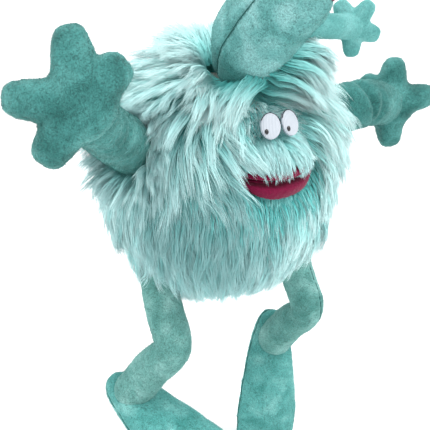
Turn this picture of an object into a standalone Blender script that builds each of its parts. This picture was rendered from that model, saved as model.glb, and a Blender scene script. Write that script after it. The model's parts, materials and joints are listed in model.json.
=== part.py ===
"""Moving mouth puppet: a shaggy round body worn on one hand, with a working mouth, stuffed limbs and a crest.

Metres, +Z up. The puppet faces -Y, and its own right side is -X. The origin is the centre of the hem of the
hand opening at the back, and the hand goes in along -Y. Every stuffed piece is a sewn cover with its filling.
"""

import bmesh
import bpy
from math import atan2, cos, pi, radians, sin, tan
from mathutils import Matrix, Vector

# Driving dimensions. Places are given from the body's centre, with X to the puppet's left.
BODY_RADII = Vector((0.115, 0.108, 0.118))
PILE = 0.008            # backing and dense base of the long pile
FABRIC = 0.0012         # short-pile fabric
GAP = 0.0003            # between pieces that touch
SWEEP_GAP = 0.0030      # between pieces that move past each other
SLEEVE_RADIUS = 0.047
SLEEVE_SLACK = 0.003        # between the sleeve and the body's opening
HEM_RADIUS = SLEEVE_RADIUS + SLEEVE_SLACK
HEM_WALL = 0.004
HEM_LENGTH = 0.009
HEM_ROLL = 0.0005       # how far the hem stands out over the body's opening
SLEEVE_FRONT = -0.030
SLEEVE_END = 0.3         # how much of the sleeve's round front end is kept, as a share of its radius

MOUTH_HEIGHT = 0.030    # of the slit between the lips
SNOUT_RADII = Vector((0.050, 0.050, 0.042))
SNOUT_CENTRE = Vector((0, -0.062, MOUTH_HEIGHT))
SNOUT_BACK = -0.074     # where the muzzle and chin covers end
SNOUT_WALL = 0.005
HINGE_PLACE = -0.040
LIP_HEIGHT = 0.011
LIP_GAP = 0.0016
LIP_PROUD = 0.002
BOARD = 0.002
BOARD_INSET = 0.002
BOARD_START = 0.007      # ahead of the hinge
LINING_START = 0.005
TAPE_RADIUS = 0.002
TAPE_SHARE = 0.75        # of the snout's width
JAW_OPEN = 32
STRAP_RADIUS = 0.021
STRAP_WIDTH = 0.018
STRAP = 0.0015
STRAP_PLACE = -0.066

EYE_SIZE = Vector((0.0100, 0.0122, 0.0022))   # half width, half height, thickness
EYE_ASIDE = 0.0112
EYE_HEIGHT = 0.079
EYE_STAND = 0.020968        # ahead of the round body, on top of the pile
EYE_TURN = 9
EYE_LEAN = 28
PUPIL_RADIUS = 0.0027
PUPIL_THICKNESS = 0.0018
PUPIL_DROP = 0.0058
PUPIL_ASIDE = -0.0040
EYE_ROLL = 14

SHOULDER_RADIUS = 0.0285
ELBOW_RADIUS = 0.0225
WRIST_RADIUS = 0.0205
LEG_RADIUS = 0.0200
HAND_PALM = 0.0275
HAND_REACH = 0.056
FINGER_RADIUS = 0.0158
HAND_FLATNESS = 0.70
WRIST_START = 0.2       # as a share of the way from the elbow to the palm
HAND_STEPS = 32
LOBE_POWER = 4          # how square a finger's end is
JOIN_POWER = 9          # how sharp the valleys between fingers are
PILLOW_RINGS = (0.5, 0.85, 1)
FOOT_LENGTH = 0.195
FOOT_HEEL_WIDTH = 0.050
FOOT_TOE_WIDTH = 0.106
FOOT_HEEL_HEIGHT = 0.036
FOOT_TOE_HEIGHT = 0.024
FOOT_BEHIND = 0.036     # heel behind the ankle
FOOT_BELOW = 0.010      # middle of the foot below the ankle
FOOT_BLUNTNESS = 3.0
FOOT_SLACK = 0.0012     # between cover and filling

CREST_NECK_RADIUS = 0.046
CREST_HEAD_RADIUS = 0.052
CREST_WIDTH = 0.88      # across, as a share of the depth
CREST_LIP = 0.003
CREST_GAP = 0.0045       # round the neck, whose cutter is the coarsest
CREST_LINING = 0.008
CREST_HAND_REACH = 0.030
CREST_FINGER_RADIUS = 0.0086
CREST_ARM_RADIUS = 0.0105
CREST_PALM_RADIUS = 0.0135
CREST_HAND_FLATNESS = 0.7

# Joint places and limits in degrees. Each pair is the puppet's right side, then its left.
SIDES = ("right", "left")
SHOULDERS = (Vector((-0.100, -0.006, 0.045)), Vector((0.100, -0.006, 0.045)))
ELBOWS = (Vector((-0.158, -0.069, 0.091)), Vector((0.172, -0.030, 0.062)))
PALMS = (Vector((-0.190, -0.108, 0.123)), Vector((0.238, -0.016, 0.052)))
HIPS = (Vector((-0.088, -0.010, -0.078)), Vector((0.088, -0.010, -0.078)))
KNEES = (Vector((-0.092, -0.046, -0.163)), Vector((0.088, -0.055, -0.171)))
ANKLES = (Vector((-0.124, -0.012, -0.234)), Vector((0.075, -0.015, -0.237)))
TOE_DIRECTIONS = (Vector((0.30, -0.92, -0.26)), Vector((-0.22, -0.27, -0.94)))
INSTEP_DIRECTIONS = (Vector((0.06, -0.25, 0.97)), Vector((-0.10, -0.93, 0.36)))
SHOULDER_AXIS = Vector((0, 1, 0))
SHOULDER_LIMITS = (-30, 30)
ELBOW_LIMITS = (-25, 25)
LEG_AXIS = Vector((1, 0, 0))
HIP_LIMITS = (-30, 30)
KNEE_LIMITS = (-25, 25)
ANKLE_LIMITS = (-20, 20)
CREST_NECK = Vector((0, -0.034, 0.112))
CREST_HEAD = Vector((0, -0.098, 0.196))
CREST_LIMITS = (-12, 12)
CREST_SHOULDER = Vector((0.040, -0.062, 0.160))
CREST_PALM = Vector((0.128, -0.052, 0.152))
CREST_ARM_LIMITS = (-25, 25)

# Finger directions from the palm, and their lengths as shares of the reach.
HAND_FACES = (Vector((-0.52, -0.83, 0.20)), Vector((-0.54, -0.84, 0.05)))
HAND_FINGERS = (
    ((Vector((0.02, 0.20, 1.0)), 1.0), (Vector((-0.84, 0.52, 0.10)), 1.0),
     (Vector((-0.56, 0.16, -0.80)), 0.95), (Vector((0.72, -0.26, 0.66)), 0.92)),
    ((Vector((0.05, 0.0, 1.0)), 1.0), (Vector((0.86, -0.45, 0.20)), 1.0),
     (Vector((0.10, -0.05, -1.0)), 1.0), (Vector((-0.65, 0.40, 0.62)), 0.85)),
)
CREST_FACE = Vector((-0.54, -0.84, 0.0))
CREST_FINGERS = ((Vector((-0.45, 0.30, 0.80)), 1.0), (Vector((0.50, -0.30, 0.80)), 1.0),
                 (Vector((0.80, -0.50, -0.30)), 1.0), (Vector((0.05, -0.03, -1.0)), 1.0))

HULL_ANGLE = 14          # below which a cutter's faces become one
CENTRE = Vector((0, -HEM_LENGTH - BODY_RADII.y * (1 - (HEM_RADIUS / BODY_RADII.x) ** 2) ** 0.5, 0))
FUR = (0.34, 0.60, 0.58, 1)
MINKY = (0.22, 0.46, 0.43, 1)
FILLING = (0.85, 0.85, 0.82, 1)
MAGENTA = (0.38, 0.02, 0.12, 1)
LINING = (0.05, 0.10, 0.10, 1)
BLACK = (0.02, 0.02, 0.02, 1)
WHITE = (0.75, 0.78, 0.82, 1)


def clear_scene():
    for thing in list(bpy.data.objects):
        bpy.data.objects.remove(thing)


def new_collection(name):
    collection = bpy.data.collections.new(name)
    bpy.context.scene.collection.children.link(collection)
    return collection


def placed(offset):
    """A place given from the body's centre, in the part's frame."""
    return CENTRE + offset


def body_front(aside, height):
    """How far ahead of the body's centre its front lies at a place across and a height."""
    return -BODY_RADII.y * (1 - (aside / BODY_RADII.x) ** 2 - (height / BODY_RADII.z) ** 2) ** 0.5


def material(name, colour, roughness):
    made = bpy.data.materials.new(name)
    made.use_nodes = True
    shader = made.node_tree.nodes["Principled BSDF"]
    shader.inputs["Base Color"].default_value = colour
    shader.inputs["Roughness"].default_value = roughness
    return made


def add_object(name, shape, colour, roughness=0.9, joint=None):
    """An object of its own from a bmesh, with its origin on its joint's axis."""
    mesh = bpy.data.meshes.new(name)
    origin = joint if joint is not None else Vector()
    bmesh.ops.translate(shape, verts=shape.verts, vec=-origin)
    shape.to_mesh(mesh)
    shape.free()
    mesh.shade_smooth()
    thing = bpy.data.objects.new(name, mesh)
    thing.location = origin
    mesh.materials.append(material(name, colour, roughness))
    PARTS.objects.link(thing)
    return thing


def add_cutter(name, shape):
    mesh = bpy.data.meshes.new(name)
    bmesh.ops.recalc_face_normals(shape, faces=shape.faces)
    shape.to_mesh(mesh)
    shape.free()
    cutter = bpy.data.objects.new(name, mesh)
    cutter.hide_render = True
    cutter.display_type = "WIRE"
    CUTTERS.objects.link(cutter)
    return cutter


def cut(thing, *cutters):
    for cutter in cutters:
        modifier = thing.modifiers.new(f"cut_{cutter.name}", "BOOLEAN")
        modifier.operation = "DIFFERENCE"
        modifier.solver = "EXACT"
        modifier.object = cutter


def ellipsoid(centre, radii, segments=20, rings=11):
    """A closed ellipsoid whose poles are on its own Y axis."""
    shape = bmesh.new()
    bmesh.ops.create_uvsphere(shape, u_segments=segments, v_segments=rings, radius=1)
    bmesh.ops.rotate(shape, verts=shape.verts, matrix=Matrix.Rotation(pi / 2, 3, "X"))
    bmesh.ops.scale(shape, verts=shape.verts, vec=radii)
    bmesh.ops.translate(shape, verts=shape.verts, vec=centre)
    return shape


def rounded_tube(start, end, start_radius, end_radius, segments=12, rings=7):
    """A closed tube with round ends, centred on start and end."""
    shape = bmesh.new()
    bmesh.ops.create_uvsphere(shape, u_segments=segments, v_segments=rings, radius=1)
    length = (end - start).length
    for vert in shape.verts:
        far = vert.co.z > 0
        vert.co = vert.co * (end_radius if far else start_radius) + Vector((0, 0, length if far else 0))
    turn = (end - start).to_track_quat("Z", "Y").to_matrix()
    bmesh.ops.rotate(shape, verts=shape.verts, matrix=turn)
    bmesh.ops.translate(shape, verts=shape.verts, vec=start)
    return shape


def cylinder(centre, radius, depth, axis, segments=24, caps=True):
    shape = bmesh.new()
    bmesh.ops.create_cone(shape, cap_ends=caps, segments=segments, radius1=radius, radius2=radius, depth=depth)
    bmesh.ops.rotate(shape, verts=shape.verts, matrix=axis.to_track_quat("Z", "Y").to_matrix())
    bmesh.ops.translate(shape, verts=shape.verts, vec=centre)
    return shape


def sliced(shape, point, normal, capped=True):
    """Keeps the side that the normal points away from."""
    everything = shape.verts[:] + shape.edges[:] + shape.faces[:]
    found = bmesh.ops.bisect_plane(shape, geom=everything, plane_co=point, plane_no=normal, clear_outer=True)
    if capped:
        rim = [item for item in found["geom_cut"] if isinstance(item, bmesh.types.BMEdge)]
        bmesh.ops.edgenet_fill(shape, edges=rim)
        bmesh.ops.recalc_face_normals(shape, faces=shape.faces)
    return shape


def opened(shape, point, radius):
    """Takes away the faces whose centres are within the radius of the point."""
    near = [face for face in shape.faces if (face.calc_center_median() - point).length < radius]
    bmesh.ops.delete(shape, geom=near, context="FACES")
    return shape


def thickened(thing, thickness):
    """Gives an open surface its thickness, towards the inside."""
    modifier = thing.modifiers.new("thickness", "SOLIDIFY")
    modifier.thickness = thickness
    modifier.offset = -1
    modifier.use_even_offset = True


def turned_about(shape, place, axis, degrees):
    bmesh.ops.rotate(shape, verts=shape.verts, cent=place, matrix=Matrix.Rotation(radians(degrees), 3, axis))
    return shape


def stuffed(name, make_shape, open_at, open_radius, joint, slack=GAP):
    """A sewn cover that is open at its seam end, and the filling inside it."""
    cover = add_object(f"{name}_cover", opened(make_shape(0), open_at, open_radius), MINKY, joint=joint)
    thickened(cover, FABRIC)
    filling = add_object(f"{name}_filling", make_shape(-FABRIC - slack), FILLING, joint=joint)
    return cover, filling


def sweep_cutter(name, make_shape, place, axis, limits):
    """A cutter round the space that a convex shape passes through between its limits."""
    swept = bmesh.new()
    for degrees in (limits[0], (limits[0] + limits[1]) / 2, limits[1]):
        shape = turned_about(make_shape(), place, axis, degrees)
        for vert in shape.verts:
            swept.verts.new(vert.co)
        shape.free()
    bmesh.ops.convex_hull(swept, input=swept.verts)
    loose = [vert for vert in swept.verts if not vert.link_faces]
    bmesh.ops.delete(swept, geom=loose, context="VERTS")
    bmesh.ops.dissolve_limit(swept, angle_limit=radians(HULL_ANGLE), verts=swept.verts, edges=swept.edges)
    bmesh.ops.triangulate(swept, faces=swept.faces)
    return add_cutter(f"{name}_sweep", swept)


def make_body():
    """The two fur covers, the wadding, the sleeve for the hand and the hem of its opening."""
    backward = Vector((0, 1, 0))
    seam = backward * GAP / 2
    front_shape = sliced(ellipsoid(CENTRE, BODY_RADII), CENTRE - seam, backward, False)
    front = add_object("fur_cover_front", front_shape, FUR)
    thickened(front, PILE)
    hem_front = -backward * (HEM_LENGTH + GAP)
    back_shape = sliced(ellipsoid(CENTRE, BODY_RADII), CENTRE + seam, -backward, False)
    back = add_object("fur_cover_back", sliced(back_shape, hem_front, backward, False), FUR)
    thickened(back, PILE)
    inner_radii = BODY_RADII - Vector((1, 1, 1)) * (PILE + 2 * GAP)
    wadding_back = -backward * (HEM_LENGTH + PILE)
    wadding_shape = sliced(ellipsoid(CENTRE, inner_radii), wadding_back, backward)
    wadding = add_object("body_wadding", wadding_shape, FILLING)
    sleeve_front = placed(Vector((0, SLEEVE_FRONT, 0)))

    def sleeve_shape(radius):
        return rounded_tube(sleeve_front, backward * radius, radius, radius, segments=20, rings=9)

    sleeve = sliced(sleeve_shape(SLEEVE_RADIUS), hem_front, backward, False)
    sleeve = sliced(sleeve, sleeve_front - backward * SLEEVE_RADIUS * SLEEVE_END, -backward, False)
    sleeve = add_object("hand_sleeve", sleeve, LINING)
    thickened(sleeve, FABRIC)
    sleeve_space = add_cutter("sleeve_space", sleeve_shape(SLEEVE_RADIUS + GAP))
    cut(wadding, sleeve_space)
    cut(back, sleeve_space)
    hem_ring = cylinder(-backward * HEM_LENGTH / 2, HEM_RADIUS + HEM_ROLL, HEM_LENGTH, backward, 32, False)
    hem = add_object("entry_hem", hem_ring, FUR)
    thickened(hem, HEM_WALL)
    return front, back, wadding, sleeve


def snout(grow, segments=20, rings=11):
    return ellipsoid(placed(SNOUT_CENTRE), SNOUT_RADII + Vector((1, 1, 1)) * grow, segments, rings)


def between_heights(shape, low, high, capped=True):
    level = placed(Vector((0, 0, MOUTH_HEIGHT)))
    shape = sliced(shape, level + Vector((0, 0, low)), Vector((0, 0, -1)), capped)
    return sliced(shape, level + Vector((0, 0, high)), Vector((0, 0, 1)), capped)


def ahead_of(shape, place, capped=True):
    return sliced(shape, placed(Vector((0, place, 0))), Vector((0, 1, 0)), capped)


def make_mouth(body_pieces):
    """Two lined boards that meet at a cloth hinge, the straps that hold the hand to them, and the fur round them."""
    hinge = placed(Vector((0, HINGE_PLACE, MOUTH_HEIGHT)))
    far = SNOUT_RADII.z * 2
    lip_low = LIP_GAP / 2
    board_low = lip_low + LIP_HEIGHT + GAP
    snout_inside = add_cutter("snout_inside", snout(-SNOUT_WALL))
    jaw_clear = sweep_cutter("jaw", lambda: snout(SWEEP_GAP + LIP_PROUD), hinge, LEG_AXIS, (0, JAW_OPEN))
    halves = (("upper", 1, "muzzle_cover", "finger_strap"), ("lower", -1, "chin_cover", "thumb_strap"))
    for side, sign, cover_name, strap_name in halves:
        joint = hinge if sign < 0 else None

        def heights(low, high):
            return (low, high) if sign > 0 else (-high, -low)

        lining = between_heights(snout(LIP_PROUD), *heights(lip_low, lip_low + LIP_HEIGHT))
        add_object(f"{side}_mouth_lining", ahead_of(lining, HINGE_PLACE - LINING_START), MAGENTA, 0.8, joint)
        board = between_heights(snout(-SNOUT_WALL - BOARD_INSET), *heights(board_low, board_low + BOARD))
        add_object(f"{side}_mouth_board", ahead_of(board, HINGE_PLACE - BOARD_START), BLACK, 0.6, joint)
        fur = between_heights(snout(0), *heights(board_low, far))
        cover = add_object(cover_name, ahead_of(fur, SNOUT_BACK), FUR, joint=joint)
        cut(cover, snout_inside)
        strap_foot = board_low + BOARD + GAP
        strap_centre = placed(Vector((0, STRAP_PLACE, MOUTH_HEIGHT + sign * (strap_foot - STRAP))))
        strap = cylinder(strap_centre, STRAP_RADIUS, STRAP_WIDTH, Vector((0, 1, 0)), 24, False)
        strap = between_heights(strap, *heights(strap_foot, far), False)
        strap = add_object(strap_name, strap, BLACK, joint=joint)
        thickened(strap, STRAP)
    tape = cylinder(hinge, TAPE_RADIUS, SNOUT_RADII.x * 2 * TAPE_SHARE, LEG_AXIS, 10)
    add_object("mouth_hinge_tape", tape, BLACK)
    for piece in body_pieces:
        cut(piece, jaw_clear)


def make_eyes():
    """Padded oval eyes that lean back on the brow, each with a small pupil near its inner lower edge."""
    for side, sign in zip(SIDES, (-1, 1)):
        facing = Vector((sin(radians(EYE_TURN)) * sign, -cos(radians(EYE_TURN)), 0))
        facing.z = tan(radians(EYE_LEAN))
        facing.normalize()
        frame = facing.to_track_quat("Z", "Y").to_matrix() @ Matrix.Rotation(radians(-EYE_ROLL), 3, "Z")
        centre = placed(Vector((EYE_ASIDE * sign, body_front(EYE_ASIDE, EYE_HEIGHT) - EYE_STAND, EYE_HEIGHT)))
        white = bmesh.new()
        bmesh.ops.create_cone(white, cap_ends=True, segments=20, radius1=1, radius2=0.93, depth=1)
        bmesh.ops.scale(white, verts=white.verts, vec=(EYE_SIZE.x, EYE_SIZE.y, EYE_SIZE.z))
        bmesh.ops.rotate(white, verts=white.verts, matrix=frame)
        bmesh.ops.translate(white, verts=white.verts, vec=centre)
        add_object(f"eye_white_{side}", white, WHITE, 0.8)
        place = centre + frame @ Vector((PUPIL_ASIDE, -PUPIL_DROP, 0))
        place += facing * (EYE_SIZE.z / 2 + PUPIL_THICKNESS / 2 + GAP)
        pupil = cylinder(place, PUPIL_RADIUS, PUPIL_THICKNESS, facing, 14)
        add_object(f"pupil_{side}", pupil, BLACK, 0.3)


def lobe(angle, direction, length, half_width):
    """How far a blunt finger reaches from the palm's middle at an angle."""
    turn = abs(angle - direction)
    turn = min(turn, 2 * pi - turn)
    if turn > pi / 2:
        return half_width
    return ((1 / length) ** LOBE_POWER + (sin(turn) / half_width) ** LOBE_POWER) ** (-1 / LOBE_POWER)


def star_pillow(hand, grow):
    """A flat pillow in the shape of a palm with four blunt fingers."""
    face = hand["face"].normalized()
    side = Vector((0, 0, 1)).cross(face).normalized()
    up = face.cross(side)
    lobes = [(atan2(direction.dot(up), direction.dot(side)), hand["reach"] * share)
             for direction, share in hand["fingers"]]
    angles = [2 * pi * step / HAND_STEPS for step in range(HAND_STEPS)]
    outline = []
    for angle in angles:
        reaches = [lobe(angle, direction, length, hand["finger_radius"]) for direction, length in lobes]
        reaches.append(hand["palm_radius"])
        outline.append(sum(reach ** JOIN_POWER for reach in reaches) ** (1 / JOIN_POWER) + grow)
    half_thickness = hand["palm_radius"] * hand["flatness"] + grow
    shape = bmesh.new()
    rings = {}
    for level in (1, -1):
        pole = shape.verts.new(hand["palm"] + face * half_thickness * level)
        inner = None
        for share in PILLOW_RINGS:
            if share == 1 and level == -1:
                ring = rings[1]
            else:
                height = half_thickness * level * (1 - share ** 3) ** 0.5
                ring = [shape.verts.new(hand["palm"] + face * height
                                        + (side * cos(angle) + up * sin(angle)) * reach * share)
                        for angle, reach in zip(angles, outline)]
            if share == 1:
                rings[1] = ring
            for i in range(HAND_STEPS):
                j = (i + 1) % HAND_STEPS
                centre_part = (pole,) if inner is None else (inner[j], inner[i])
                shape.faces.new((*centre_part, ring[i], ring[j]))
            inner = ring
    bmesh.ops.recalc_face_normals(shape, faces=shape.faces)
    return shape


def wrist_tube(hand, start, grow):
    along = hand["palm"] - hand["joint"]
    end = hand["palm"] - along.normalized() * hand["palm_radius"] * 0.3
    radius = hand["wrist_radius"] + grow
    return rounded_tube(hand["joint"] + along * start, end, radius, radius * 0.95, 12, 5)


def make_hand(name, hand):
    """The hand's cover, hollow and open at the wrist, and its filling."""
    cover = add_object(f"{name}_cover", star_pillow(hand, 0), MINKY, joint=hand["joint"])
    filling = add_object(f"{name}_filling", star_pillow(hand, -FABRIC - GAP * 2), FILLING, joint=hand["joint"])
    for piece, start, grow in ((cover, hand["start"], 0), (filling, hand["start"] + 0.05, -FABRIC - GAP * 2)):
        wrist = add_cutter(f"{piece.name}_wrist", wrist_tube(hand, start, grow))
        joined = piece.modifiers.new("wrist", "BOOLEAN")
        joined.operation = "UNION"
        joined.object = wrist
    inside_palm = add_cutter(f"{name}_inside_palm", star_pillow(hand, -FABRIC))
    inside_wrist = add_cutter(f"{name}_inside_wrist", wrist_tube(hand, hand["start"] - 0.7, -FABRIC))
    cut(cover, inside_palm, inside_wrist)
    return cover, filling


def make_arm(side, body_pieces):
    name = SIDES[side]
    shoulder, elbow, palm = placed(SHOULDERS[side]), placed(ELBOWS[side]), placed(PALMS[side])

    def arm_shape(grow=0.0):
        return rounded_tube(shoulder, elbow, SHOULDER_RADIUS + grow, ELBOW_RADIUS + grow)

    along = (elbow - shoulder).normalized()
    stuffed(f"{name}_arm", arm_shape, shoulder - along * SHOULDER_RADIUS, SHOULDER_RADIUS * 0.8, shoulder)
    hand = {"joint": elbow, "palm": palm, "face": HAND_FACES[side], "fingers": HAND_FINGERS[side],
            "reach": HAND_REACH, "palm_radius": HAND_PALM, "finger_radius": FINGER_RADIUS,
            "wrist_radius": WRIST_RADIUS, "flatness": HAND_FLATNESS, "start": WRIST_START}
    stuff = make_hand(f"{name}_hand", hand)
    bend = (palm - elbow).cross(HAND_FACES[side]).normalized()
    arm_clear = sweep_cutter(f"{name}_elbow", lambda: arm_shape(SWEEP_GAP), elbow, bend, ELBOW_LIMITS)
    for piece in stuff:
        cut(piece, arm_clear)
    socket = sweep_cutter(f"{name}_shoulder", lambda: arm_shape(SWEEP_GAP), shoulder, SHOULDER_AXIS,
                          SHOULDER_LIMITS)
    for piece in body_pieces:
        cut(piece, socket)


def foot_frame(side):
    ahead = TOE_DIRECTIONS[side].normalized()
    across = ahead.cross(INSTEP_DIRECTIONS[side]).normalized()
    up = across.cross(ahead)
    return ahead, across, up


def foot_shape(side, grow=0.0):
    """A flat flipper, narrow at the heel and wide at the toe, with its ankle over the heel end."""
    ahead, across, up = foot_frame(side)
    ankle = placed(ANKLES[side])
    shape = bmesh.new()
    bmesh.ops.create_uvsphere(shape, u_segments=14, v_segments=9, radius=1)
    for vert in shape.verts:
        share = (vert.co.z + 1) / 2
        ring = (vert.co.x ** 2 + vert.co.y ** 2) ** 0.5
        fullness = (1 - abs(vert.co.z) ** FOOT_BLUNTNESS) ** (1 / FOOT_BLUNTNESS) / ring if ring > 1e-4 else 0
        width = FOOT_HEEL_WIDTH + (FOOT_TOE_WIDTH - FOOT_HEEL_WIDTH) * share + 2 * grow
        height = FOOT_HEEL_HEIGHT + (FOOT_TOE_HEIGHT - FOOT_HEEL_HEIGHT) * share + 2 * grow
        lengthwise = (FOOT_LENGTH + 2 * grow) * share - FOOT_BEHIND - grow
        vert.co = (ankle + ahead * lengthwise + across * (vert.co.x * fullness * width / 2)
                   + up * (vert.co.y * fullness * height / 2 - FOOT_BELOW))
    bmesh.ops.recalc_face_normals(shape, faces=shape.faces)
    return shape


def make_leg(side, body_pieces):
    name = SIDES[side]
    hip, knee, ankle = placed(HIPS[side]), placed(KNEES[side]), placed(ANKLES[side])

    def thigh(grow=0.0):
        return rounded_tube(hip, knee, LEG_RADIUS + grow, LEG_RADIUS + grow)

    def shin(grow=0.0):
        return rounded_tube(knee + (ankle - knee) * 0.12, ankle, LEG_RADIUS + grow, LEG_RADIUS + grow)

    down = (knee - hip).normalized()
    shin_along = (ankle - knee).normalized()
    stuffed(f"{name}_thigh", thigh, hip - down * LEG_RADIUS, LEG_RADIUS * 0.8, hip)
    shin_pieces = stuffed(f"{name}_shin", shin, knee - shin_along * LEG_RADIUS * 0.5, LEG_RADIUS * 0.9, knee)
    foot_pieces = stuffed(f"{name}_foot", lambda grow: foot_shape(side, grow), ankle, LEG_RADIUS * 0.9, ankle,
                          FOOT_SLACK)
    knee_clear = sweep_cutter(f"{name}_knee", lambda: thigh(SWEEP_GAP), knee, LEG_AXIS, KNEE_LIMITS)
    ankle_clear = sweep_cutter(f"{name}_ankle", lambda: shin(SWEEP_GAP), ankle, LEG_AXIS, ANKLE_LIMITS)
    socket = sweep_cutter(f"{name}_hip", lambda: thigh(SWEEP_GAP), hip, LEG_AXIS, HIP_LIMITS)
    for pieces, clear in ((shin_pieces, knee_clear), (foot_pieces, ankle_clear), (body_pieces, socket)):
        for piece in pieces:
            cut(piece, clear)


def make_crest(body_pieces):
    """The smooth second head that leans forward over the face, with its lining, and its one small arm."""
    neck, head_centre = placed(CREST_NECK), placed(CREST_HEAD)
    ahead = Vector((0, -1, 0))

    def head(grow=0.0):
        shape = rounded_tube(neck, head_centre, CREST_NECK_RADIUS + grow, CREST_HEAD_RADIUS + grow, 16, 9)
        bmesh.ops.scale(shape, verts=shape.verts, vec=(CREST_WIDTH, 1, 1))
        return shape

    def mouth_slab(grow, slack):
        middle = head_centre + Vector((0, 0, CREST_HEAD_RADIUS * 0.05))
        shape = sliced(head(grow), middle + ahead * (CREST_HEAD_RADIUS * 0.55 - slack), -ahead)
        shape = sliced(shape, middle + Vector((0, 0, CREST_LINING / 2 + slack)), Vector((0, 0, 1)))
        return sliced(shape, middle - Vector((0, 0, CREST_LINING / 2 + slack)), Vector((0, 0, -1)))

    crest_pieces = stuffed("crest", head, neck, CREST_NECK_RADIUS * 1.02, neck)
    add_object("crest_mouth_lining", mouth_slab(CREST_LIP, 0), MAGENTA, 0.6, neck)
    slot = add_cutter("crest_mouth_space", mouth_slab(CREST_LIP * 2, GAP))
    for piece in crest_pieces:
        cut(piece, slot)
    socket = sweep_cutter("crest", lambda: head(CREST_GAP), neck, LEG_AXIS, CREST_LIMITS)
    for piece in body_pieces:
        cut(piece, socket)
    shoulder, palm = placed(CREST_SHOULDER), placed(CREST_PALM)

    hand = {"joint": shoulder, "palm": palm, "face": CREST_FACE, "fingers": CREST_FINGERS,
            "reach": CREST_HAND_REACH, "palm_radius": CREST_PALM_RADIUS, "finger_radius": CREST_FINGER_RADIUS,
            "wrist_radius": CREST_ARM_RADIUS, "flatness": CREST_HAND_FLATNESS, "start": 0}
    make_hand("crest_hand", hand)
    socket = sweep_cutter("crest_hand", lambda: wrist_tube(hand, 0, SWEEP_GAP), shoulder, SHOULDER_AXIS,
                          CREST_ARM_LIMITS)
    for piece in crest_pieces:
        cut(piece, socket)


clear_scene()
PARTS = new_collection("moving_mouth_puppet")
CUTTERS = new_collection("cutters")
shell_front, shell_back, wadding_piece, sleeve_piece = make_body()
make_mouth((shell_front, wadding_piece, sleeve_piece))
make_eyes()
for index in range(2):
    make_arm(index, (shell_front, shell_back, wadding_piece))
    make_leg(index, (shell_front, shell_back, wadding_piece))
make_crest((shell_front, shell_back, wadding_piece))
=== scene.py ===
"""Looks of the moving mouth puppet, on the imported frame: long fur, short plush, knit eyes and velour lips."""

import json
from math import atan2, cos, exp, pi, radians, sin, tan

import bmesh
import bpy
import numpy as np
from mathutils import Matrix, Vector, kdtree, noise


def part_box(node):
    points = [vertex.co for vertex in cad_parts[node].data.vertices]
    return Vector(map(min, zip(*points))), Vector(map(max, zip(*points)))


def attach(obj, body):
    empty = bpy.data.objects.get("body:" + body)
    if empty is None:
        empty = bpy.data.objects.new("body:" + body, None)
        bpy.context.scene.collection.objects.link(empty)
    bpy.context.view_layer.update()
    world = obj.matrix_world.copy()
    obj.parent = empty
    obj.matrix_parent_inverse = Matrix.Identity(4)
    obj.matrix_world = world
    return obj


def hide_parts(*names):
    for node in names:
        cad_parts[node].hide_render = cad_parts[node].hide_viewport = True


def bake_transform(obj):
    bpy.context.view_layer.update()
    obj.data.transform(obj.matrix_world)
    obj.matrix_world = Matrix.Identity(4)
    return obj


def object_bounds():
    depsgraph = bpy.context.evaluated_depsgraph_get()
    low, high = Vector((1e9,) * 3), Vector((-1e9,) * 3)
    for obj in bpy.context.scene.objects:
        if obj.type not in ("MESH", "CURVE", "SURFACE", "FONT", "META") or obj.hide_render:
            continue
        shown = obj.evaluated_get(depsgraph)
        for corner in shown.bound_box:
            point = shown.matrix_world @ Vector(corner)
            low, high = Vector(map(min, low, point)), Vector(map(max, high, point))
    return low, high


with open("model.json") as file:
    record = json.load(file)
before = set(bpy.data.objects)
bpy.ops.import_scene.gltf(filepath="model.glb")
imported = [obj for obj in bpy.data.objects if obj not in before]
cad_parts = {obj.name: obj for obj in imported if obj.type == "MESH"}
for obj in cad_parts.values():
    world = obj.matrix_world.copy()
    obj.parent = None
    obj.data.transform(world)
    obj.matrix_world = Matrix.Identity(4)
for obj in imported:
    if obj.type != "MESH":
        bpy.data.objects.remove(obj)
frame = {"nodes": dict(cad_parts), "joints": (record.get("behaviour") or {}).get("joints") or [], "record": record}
CAD_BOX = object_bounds()
JOINTS = {joint["name"]: Vector(joint["pos_m"]) for joint in frame["joints"]}
SIDES = ("right", "left")
UP = Vector((0, 0, 1))

# The round body and the snout, from the frame.
CENTRE = Vector((0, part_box("fur_cover_front")[1].y, 0))
BODY_RADII = Vector((0.115, 0.108, 0.118))
MOUTH_LEVEL = JOINTS["jaw_open"].z
SNOUT_CENTRE = CENTRE + Vector((0, -0.062, MOUTH_LEVEL))
SNOUT_RADII = Vector((0.050, 0.050, 0.042))
HEM_RADIUS = 0.052
SHOULDER_RADIUS = 0.0285
ELBOW_RADIUS = 0.0225
WRIST_RADIUS = 0.0205
LEG_RADIUS = 0.0200
ARM_STUFFING = (0, 0.0055)
FOOT_LENGTH = 0.195
HEEL_LENGTH = 0.036
SOLE_DROP = 0.010

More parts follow.
